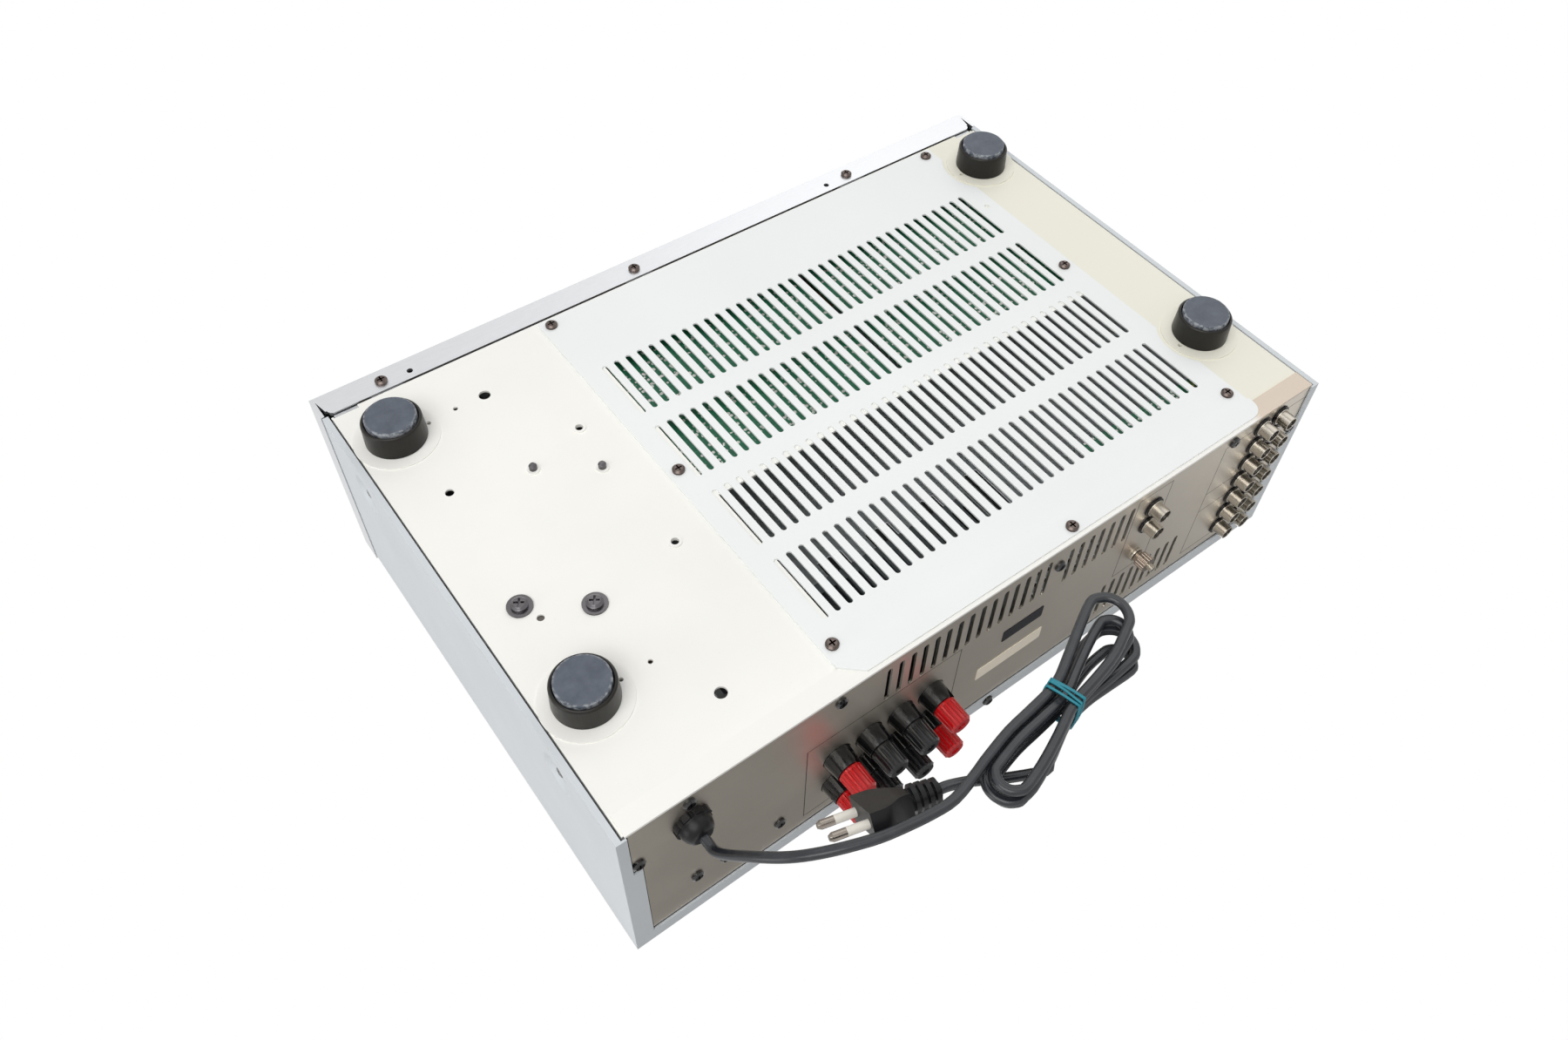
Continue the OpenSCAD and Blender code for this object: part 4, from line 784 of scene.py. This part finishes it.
def board_laminate():
    """Green solder resist with tracks and rows of solder joints."""
    f = Finish("board_laminate", (0.02, 0.16, 0.09))
    tracks = f.node("TexBrick", {
        "Vector": f.place(), "Color1": (0, 0, 0), "Color2": (1, 1, 1), "Mortar": (0.5, 0.5, 0.5),
        "Scale": 60, "Mortar Size": 0.012, "Brick Width": 0.7, "Row Height": 0.25})[1]
    dots = f.node("TexVoronoi", {"Vector": f.place(), "Scale": 330}, feature="F1")[0]
    joint = (1 - dots.ramp(0.30, 0.38)) * (f.noise(70, 2) > 0.43)
    tone = f.mix(f.noise(40, 3), (0.012, 0.14, 0.075), (0.03, 0.24, 0.12))
    tone = f.mix(tracks * 0.5, tone, (0.06, 0.34, 0.18))
    tone = f.mix(joint, tone, (0.80, 0.79, 0.75))
    f.bump(joint, 0.6, 0.0008)
    return f.set(Base_Color=tone, Metallic=joint * 0.4, Roughness=0.42 - joint * 0.12)


# The plug's body and the sleeve on each of its pins, and where the pins leave the body
PLUG_L = 34 * MM
SLEEVE_L = 9.5 * MM
PIN_ROOT = on_floor(PLUG_END) - PLUG_L * plug_way


def contact_metal():
    """Nickel pins whose inner half wears a pale sleeve."""
    f = Finish("contact_metal", (0.6, 0.58, 0.54))
    x, y = f.axes()[:2]
    reach = (x - PIN_ROOT.x) * -plug_way.x + (y - PIN_ROOT.y) * -plug_way.y
    sleeve = reach < SLEEVE_L
    cloud = f.noise(300, 3)
    pale = f.mix(cloud, (0.72, 0.68, 0.60), (0.80, 0.77, 0.70))
    tone = f.mix(sleeve, (0.26, 0.23, 0.20), pale)
    f.bump(f.noise(900, 2) + sleeve * 0.6, 0.12, 0.0003)
    return f.set(Base_Color=tone, Metallic=1 - sleeve,
                 Roughness=0.2 + sleeve * 0.22 + cloud * 0.06)


cream_enamel = enamel("cream_enamel", (0.92, 0.91, 0.865), edge=right_strip)
white_enamel = enamel("white_enamel", (0.86, 0.88, 0.87), rough=0.36, cloud=0.015)
silver_enamel = enamel("silver_enamel", (0.64, 0.675, 0.70), rough=0.34, peel=0.04)
rear_steel = rear_sheet_steel("rear_steel", (0.60, 0.55, 0.475), rough=0.27)
zinc_steel = plated("zinc_steel", (0.55, 0.56, 0.57), rough=0.38)
screw_bronze = plated("screw_bronze", (0.115, 0.092, 0.083), rough=0.2)
screw_black = moulded("screw_black", (0.008, 0.008, 0.009), rough=0.16, gloss=0.5, wear=0.05)
bolt_steel = plated("bolt_steel", (0.13, 0.125, 0.13), rough=0.18)
nickel = plated("nickel", (0.40, 0.37, 0.32), rough=0.2, cloud=0.08)
nut_bronze = plated("nut_bronze", (0.25, 0.205, 0.17), rough=0.2, cloud=0.1)
stud_brass = plated("stud_brass", (0.70, 0.52, 0.24), rough=0.22)
panel_aluminium = brushed("panel_aluminium", (0.66, 0.67, 0.685), rough=0.33)
knob_aluminium = turned_metal("knob_aluminium", (0.62, 0.63, 0.645), rough=0.26)
key_aluminium = brushed("key_aluminium", (0.70, 0.71, 0.72), rough=0.24)
print_grey = moulded("print_grey", (0.035, 0.036, 0.04), rough=0.5, wear=0.1)
plate_black = moulded("plate_black", (0.008, 0.009, 0.012), rough=0.34, wear=0.3, specular=0.2)
plate_cream = moulded("plate_cream", (0.88, 0.80, 0.66), rough=0.45, wear=0.2)
shaft_steel = plated("shaft_steel", (0.6, 0.59, 0.57), rough=0.2)
foot_black = moulded("foot_black", (0.014, 0.0125, 0.010), rough=0.32, wear=0.12, specular=0.25)
black_moulding = moulded("black_moulding", (0.007, 0.007, 0.008), rough=0.34, wear=0.05,
                         specular=0.22)
collar_black = moulded("collar_black", (0.006, 0.006, 0.006), rough=0.12, wear=0.04,
                       specular=0.35)
# Each cap's second colour is the painted shade in its grooves
cap_black = ribbed("cap_black", (0.008, 0.0085, 0.010), (0.001, 0.001, 0.001), rough=0.10)
cap_red = ribbed("cap_red", (0.58, 0.006, 0.009), (0.38, 0.002, 0.003), rough=0.12)
can_sleeve = moulded("can_sleeve", (0.02, 0.025, 0.05), rough=0.25, gloss=0.6)
core_iron = plated("core_iron", (0.14, 0.13, 0.12), rough=0.5)
winding_copper = plated("winding_copper", (0.60, 0.27, 0.08), rough=0.28)
switch_brown = moulded("switch_brown", (0.20, 0.11, 0.05), rough=0.5)
pin_nickel = contact_metal()
pad_slate = slate_pad()
fin_aluminium = fin_finish()
cord_black = cord_rubber()
band_blue = band_rubber()
board_green = board_laminate()

wears(power_cord, cord_black)
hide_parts("cord_lead", "cord_hank", "cord_tail")

# Sheet metal

dressed("chassis_tray", "tray_sheet", cream_enamel, 0.0003)
dressed("vent_plate", "slotted_plate", white_enamel, 0.00022, segments=1)
dressed("rear_panel", "rear_sheet", rear_steel, 0.00022, segments=1)
dressed("front_subframe", "sub_frame_sheet", zinc_steel, 0.0003)
dressed("top_cover", "cover_sheet", silver_enamel, 0.0004)
dressed("front_panel", "front_face", panel_aluminium, 0.0006, segments=3)

# Feet and fasteners

for foot in FEET:
    dressed("foot_" + foot, "foot_cup_" + foot, foot_black, 0.0007, segments=4)
dressed("foot_pads", "foot_pad_faces", pad_slate, 0.0005, segments=3)
dressed("foot_screws", "foot_fixings", bolt_steel, 0.0002)
dressed("bottom_screws", "plate_screws", screw_bronze, 0.00022, segments=3)
dressed("case_screws", "rear_screws", screw_black, 0.00022, segments=3)
dressed("transformer_bolts", "washer_bolts", bolt_steel, 0.0003, segments=3)

# Rear fittings

CAP_FINISHES = {"cap_red": cap_red, "cap_black": cap_black}
dressed("cord_gland", "gland_moulding", black_moulding, 0.0004, segments=3, angle=50)
dressed("terminal_block", "terminal_collars", collar_black, 0.0003, segments=3)
dressed("terminal_studs", "terminal_rods", stud_brass, 0.0002)
for i in range(1, 9):
    node = "terminal_cap_%d" % i
    dressed(node, "terminal_grip_%d" % i, CAP_FINISHES[slots[node]], 0.0003,
            "speaker_cap_%d" % i, segments=3, angle=50)

# A lid in mm: radius, thickness, how far in from the cap's tip, and its dimple's radius and depth
LID_R, LID_T, LID_IN, DIMPLE_R, DIMPLE_IN = 2.2, 0.8, 0.5, 0.9, 0.3
LID_EDGE = 0.1


def cap_lid():
    """A disc with a dimple in its middle, which closes the bore of a speaker cap."""
    bpy.ops.object.select_all(action="DESELECT")
    bpy.ops.mesh.primitive_cylinder_add(vertices=32, radius=LID_R * MM, depth=LID_T * MM,
                                        rotation=(math.radians(90), 0, 0))
    lid = named("cap_lid")
    settle(lid)
    pick(lid, "faces", lambda place, normal: normal.y > 0.9)
    bpy.ops.mesh.inset(thickness=(LID_R - DIMPLE_R) * MM)
    bpy.ops.transform.translate(value=(0, -DIMPLE_IN * MM, 0))
    done()
    soften(lid, LID_EDGE * MM)
    return lid


first_lid = cap_lid()
for i in range(1, 9):
    node = "terminal_cap_%d" % i
    tip = middle(node)
    tip.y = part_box(node)[1][1] - (LID_IN + LID_T / 2) * MM
    lid = copied(first_lid, "terminal_lid_%d" % i, Matrix.Translation(tip))
    wears(lid, CAP_FINISHES[slots[node]], "speaker_cap_%d" % i)
bpy.data.objects.remove(first_lid)

dressed("input_jacks", "jack_shells", nickel, 0.00015)
dressed("jack_insulators", "jack_mouldings", black_moulding, 0.00015)
dressed("ground_post", "ground_rod", nickel, 0.0002)
dressed("ground_nut", "ground_grip", nut_bronze, 0.0002, "ground_nut")

# The rubber band's strands: each one's place along the hank's waist in mm, its sway and its phase
STRANDS = [(-2.1, 0.5, 0), (-0.6, -0.9, 1.1), (0.8, 1.0, 2.3), (2.1, -0.5, 3.9)]
STRAND_R = 0.62
STRAND_STEPS = 72
# The loop's lowest and highest place across the hank and up, and how far it fills its corners
BAND_SIDES = (-9.75, 7.1, 0.75, 22.65)
CORNER_FILL = 0.22


def band_point(s):
    """A point of the loop round the hank's waist, from 0 to 1 along it, across and up in mm."""
    low_v, high_v, low_z, high_z = BAND_SIDES
    a = 2 * math.pi * s
    c, d = math.cos(a), math.sin(a)
    stretch = 1 / max(abs(c), abs(d))
    corner = min(1, 1 - CORNER_FILL + CORNER_FILL / stretch)
    v = (low_v + high_v) / 2 + (high_v - low_v) / 2 * c * stretch * corner
    z = (low_z + high_z) / 2 + (high_z - low_z) / 2 * d * stretch * corner
    return v, z


def strand(index, shift, sway, phase):
    loop = bpy.data.curves.new("strand", "CURVE")
    loop.dimensions = "3D"
    loop.bevel_depth = STRAND_R * MM
    loop.bevel_resolution = 3
    line = loop.splines.new("POLY")
    line.use_cyclic_u = True
    line.points.add(STRAND_STEPS - 1)
    for k, point in enumerate(line.points):
        s = k / STRAND_STEPS
        v, z = band_point(s)
        u = shift + sway * math.sin(2 * math.pi * s + phase)
        place = Vector((*HANK_PLACE, z)) + u * along + v * across
        point.co = (*on_floor(place), 1)
    return as_mesh(placed("strand_%d" % index, loop))


rubber_band = joined([strand(i, *s) for i, s in enumerate(STRANDS)], "rubber_band")
smooth(rubber_band, TUBE_ANGLE)
wears(rubber_band, band_blue)
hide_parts("cord_tie")
dressed("plug_body", "plug_moulding", black_moulding, 0.0008, segments=3)
dressed("plug_pins", "plug_contacts", pin_nickel, 0.0003)

# Front controls

for control in KNOBS:
    body = control + "_control"
    dressed(control + "_knob", control + "_grip", knob_aluminium, 0.0004, body, segments=3)
    dressed(control + "_shaft", control + "_spindle", shaft_steel, 0.0002, body)
dressed("power_button", "power_key", key_aluminium, 0.0006, "power_button", segments=3)
dressed("headphone_jack", "headphone_bush", black_moulding, 0.0003)


def three_words(low, high):
    """The words of a dial with eleven marks: at its two ends, and a nought in the middle."""
    return [low, "", "", "", "", "0", "", "", "", "", high]


# The dial round each knob: how far its marks reach each way in degrees, as the knob turns, then
# in mm the inner end, outer end and width of a tick, the radius and height of its words,
# and the words, one for each tick
DIALS = {
    "volume": (150, 31.6, 34.2, 0.7, 37.6, 4.2, [str(n) for n in range(11)]),
    "input": (150, 21.6, 23.8, 0.7, 27.2, 4.0, ["1", "2", "3", "4", "5"]),
    "bass": (140, 14.1, 15.7, 0.5, 18.4, 3.4, three_words("-", "+")),
    "treble": (140, 14.1, 15.7, 0.5, 18.4, 3.4, three_words("-", "+")),
    "balance": (140, 14.1, 15.7, 0.5, 18.4, 3.4, three_words("L", "R")),
}
# Each fifth tick is whole, and the others end this much sooner, in mm
LONG_TICKS, SHORTER = 5, 0.6
# The words beside the controls: middle x and z, and height, in mm
LABELS = [("POWER", -184, 95.5, 3.6), ("PHONES", -184, 46, 3.2), ("VOLUME", 158, 15.5, 3.6),
          ("INPUT", 92, 31.5, 3.6), ("BASS", -96, 13.5, 3.2), ("TREBLE", -48, 13.5, 3.2),
          ("BALANCE", 0, 13.5, 3.2)]
# The print's thickness, and the text size that gives a letter one mm of height
PRINT_T, TEXT_SIZE = 0.08, 1.38


def printed_word(word, x, z, height):
    bpy.ops.object.select_all(action="DESELECT")
    bpy.ops.object.text_add(location=(0, 0, 0))
    sign = bpy.context.active_object
    sign.data.body = word
    sign.data.align_x = "CENTER"
    sign.data.align_y = "CENTER"
    sign.data.size = height * TEXT_SIZE * MM
    sign.data.extrude = PRINT_T / 2 * MM
    sign.data.resolution_u = 3
    sign = as_mesh(sign)
    upright = Matrix.Rotation(math.radians(90), 4, "X")
    moved(sign, Matrix.Translation(at(x, FRONT - PRINT_T / 2, z)) @ upright)
    return sign


marks = []
for control, (reach, near_r, far_r, wide, word_r, height, words) in DIALS.items():
    knob_x, knob_z = KNOBS[control][:2]
    for i, word in enumerate(words):
        angle = -reach + 2 * reach * i / (len(words) - 1)
        tip_r = far_r if i % LONG_TICKS == 0 else far_r - SHORTER
        tick = thin_box("tick", (knob_x - wide / 2, FRONT - PRINT_T, knob_z + near_r),
                        (knob_x + wide / 2, FRONT, knob_z + tip_r))
        marks.append(spun(tick, knob_x, knob_z, angle))
        if word:
            a = math.radians(angle)
            marks.append(printed_word(word, knob_x + word_r * math.sin(a),
                                      knob_z + word_r * math.cos(a), height))
for label in LABELS:
    marks.append(printed_word(*label))
panel_print = joined(marks, "panel_print")
wears(panel_print, print_grey)

# The pointers in mm: the gap behind a knob, half a pointer's width, how far behind the knob's
# face it starts and ends, how far from the rim its outer end is, how much further than a fifth
# of the knob's diameter its inner end is, and its edge's width
KNOB_GAP, POINTER_HALF, POINTER_Y = 0.8, 0.5, (0.15, 0.9)
OUTER_GAP, INNER_GAP, POINTER_EDGE = 2.9, 1.4, 0.08
for control, (knob_x, knob_z, knob_d, deep) in KNOBS.items():
    face = FRONT - KNOB_GAP - deep
    rim = knob_z + knob_d / 2
    pointer = thin_box(control + "_pointer",
                       (knob_x - POINTER_HALF, face + POINTER_Y[0], rim - knob_d / 5 - INNER_GAP),
                       (knob_x + POINTER_HALF, face + POINTER_Y[1], rim - OUTER_GAP), POINTER_EDGE)
    wears(pointer, print_grey, control + "_control")

# Rear plates

# In mm, low x, high x, low z, high z and thickness, and the width of their corners and edges
PLATES = [("dark_plate", plate_black, "black_plastic", -0.5, 26.8, 45.7, 54.8, 0.3),
          ("pale_plate", plate_cream, "tray_paint", -13.6, 30.8, 68.6, 78.5, 0.25)]
PLATE_CORNER, PLATE_EDGE = 0.9, 0.06
for name, finish, slot, low_x, high_x, low_z, high_z, thick in PLATES:
    plate = thin_box(name, (low_x, REAR_FACE, low_z), (high_x, REAR_FACE + thick, high_z))
    pick(plate, "edges", lambda a, b: abs(a.y - b.y) > 0.1 * MM)
    bpy.ops.mesh.bevel(offset=PLATE_CORNER * MM, segments=4)
    done()
    soften(plate, PLATE_EDGE * MM)
    wears(plate, finish)

# Inside

dressed("transformer_core", "core_stack", core_iron, 0.0004)
dressed("transformer_winding", "winding_coil", winding_copper, 0.003, segments=4)
dressed("heat_sink", "finned_sink", fin_aluminium, 0.0003)
dressed("power_transistors", "transistor_cases", black_moulding, 0.0003)
dressed("main_board", "main_board_sheet", board_green, 0.0002)
dressed("input_board", "input_board_sheet", board_green, 0.0002)
dressed("board_standoffs", "board_spacers", stud_brass, 0.0002)
dressed("filter_capacitors", "capacitor_cans", can_sleeve, 0.001, segments=3)
dressed("volume_pot", "volume_body", zinc_steel, 0.0004)
dressed("tone_pots", "tone_bodies", zinc_steel, 0.0004)
dressed("input_switch", "input_switch_body", switch_brown, 0.0004)
dressed("power_switch", "power_switch_body", black_moulding, 0.0004)
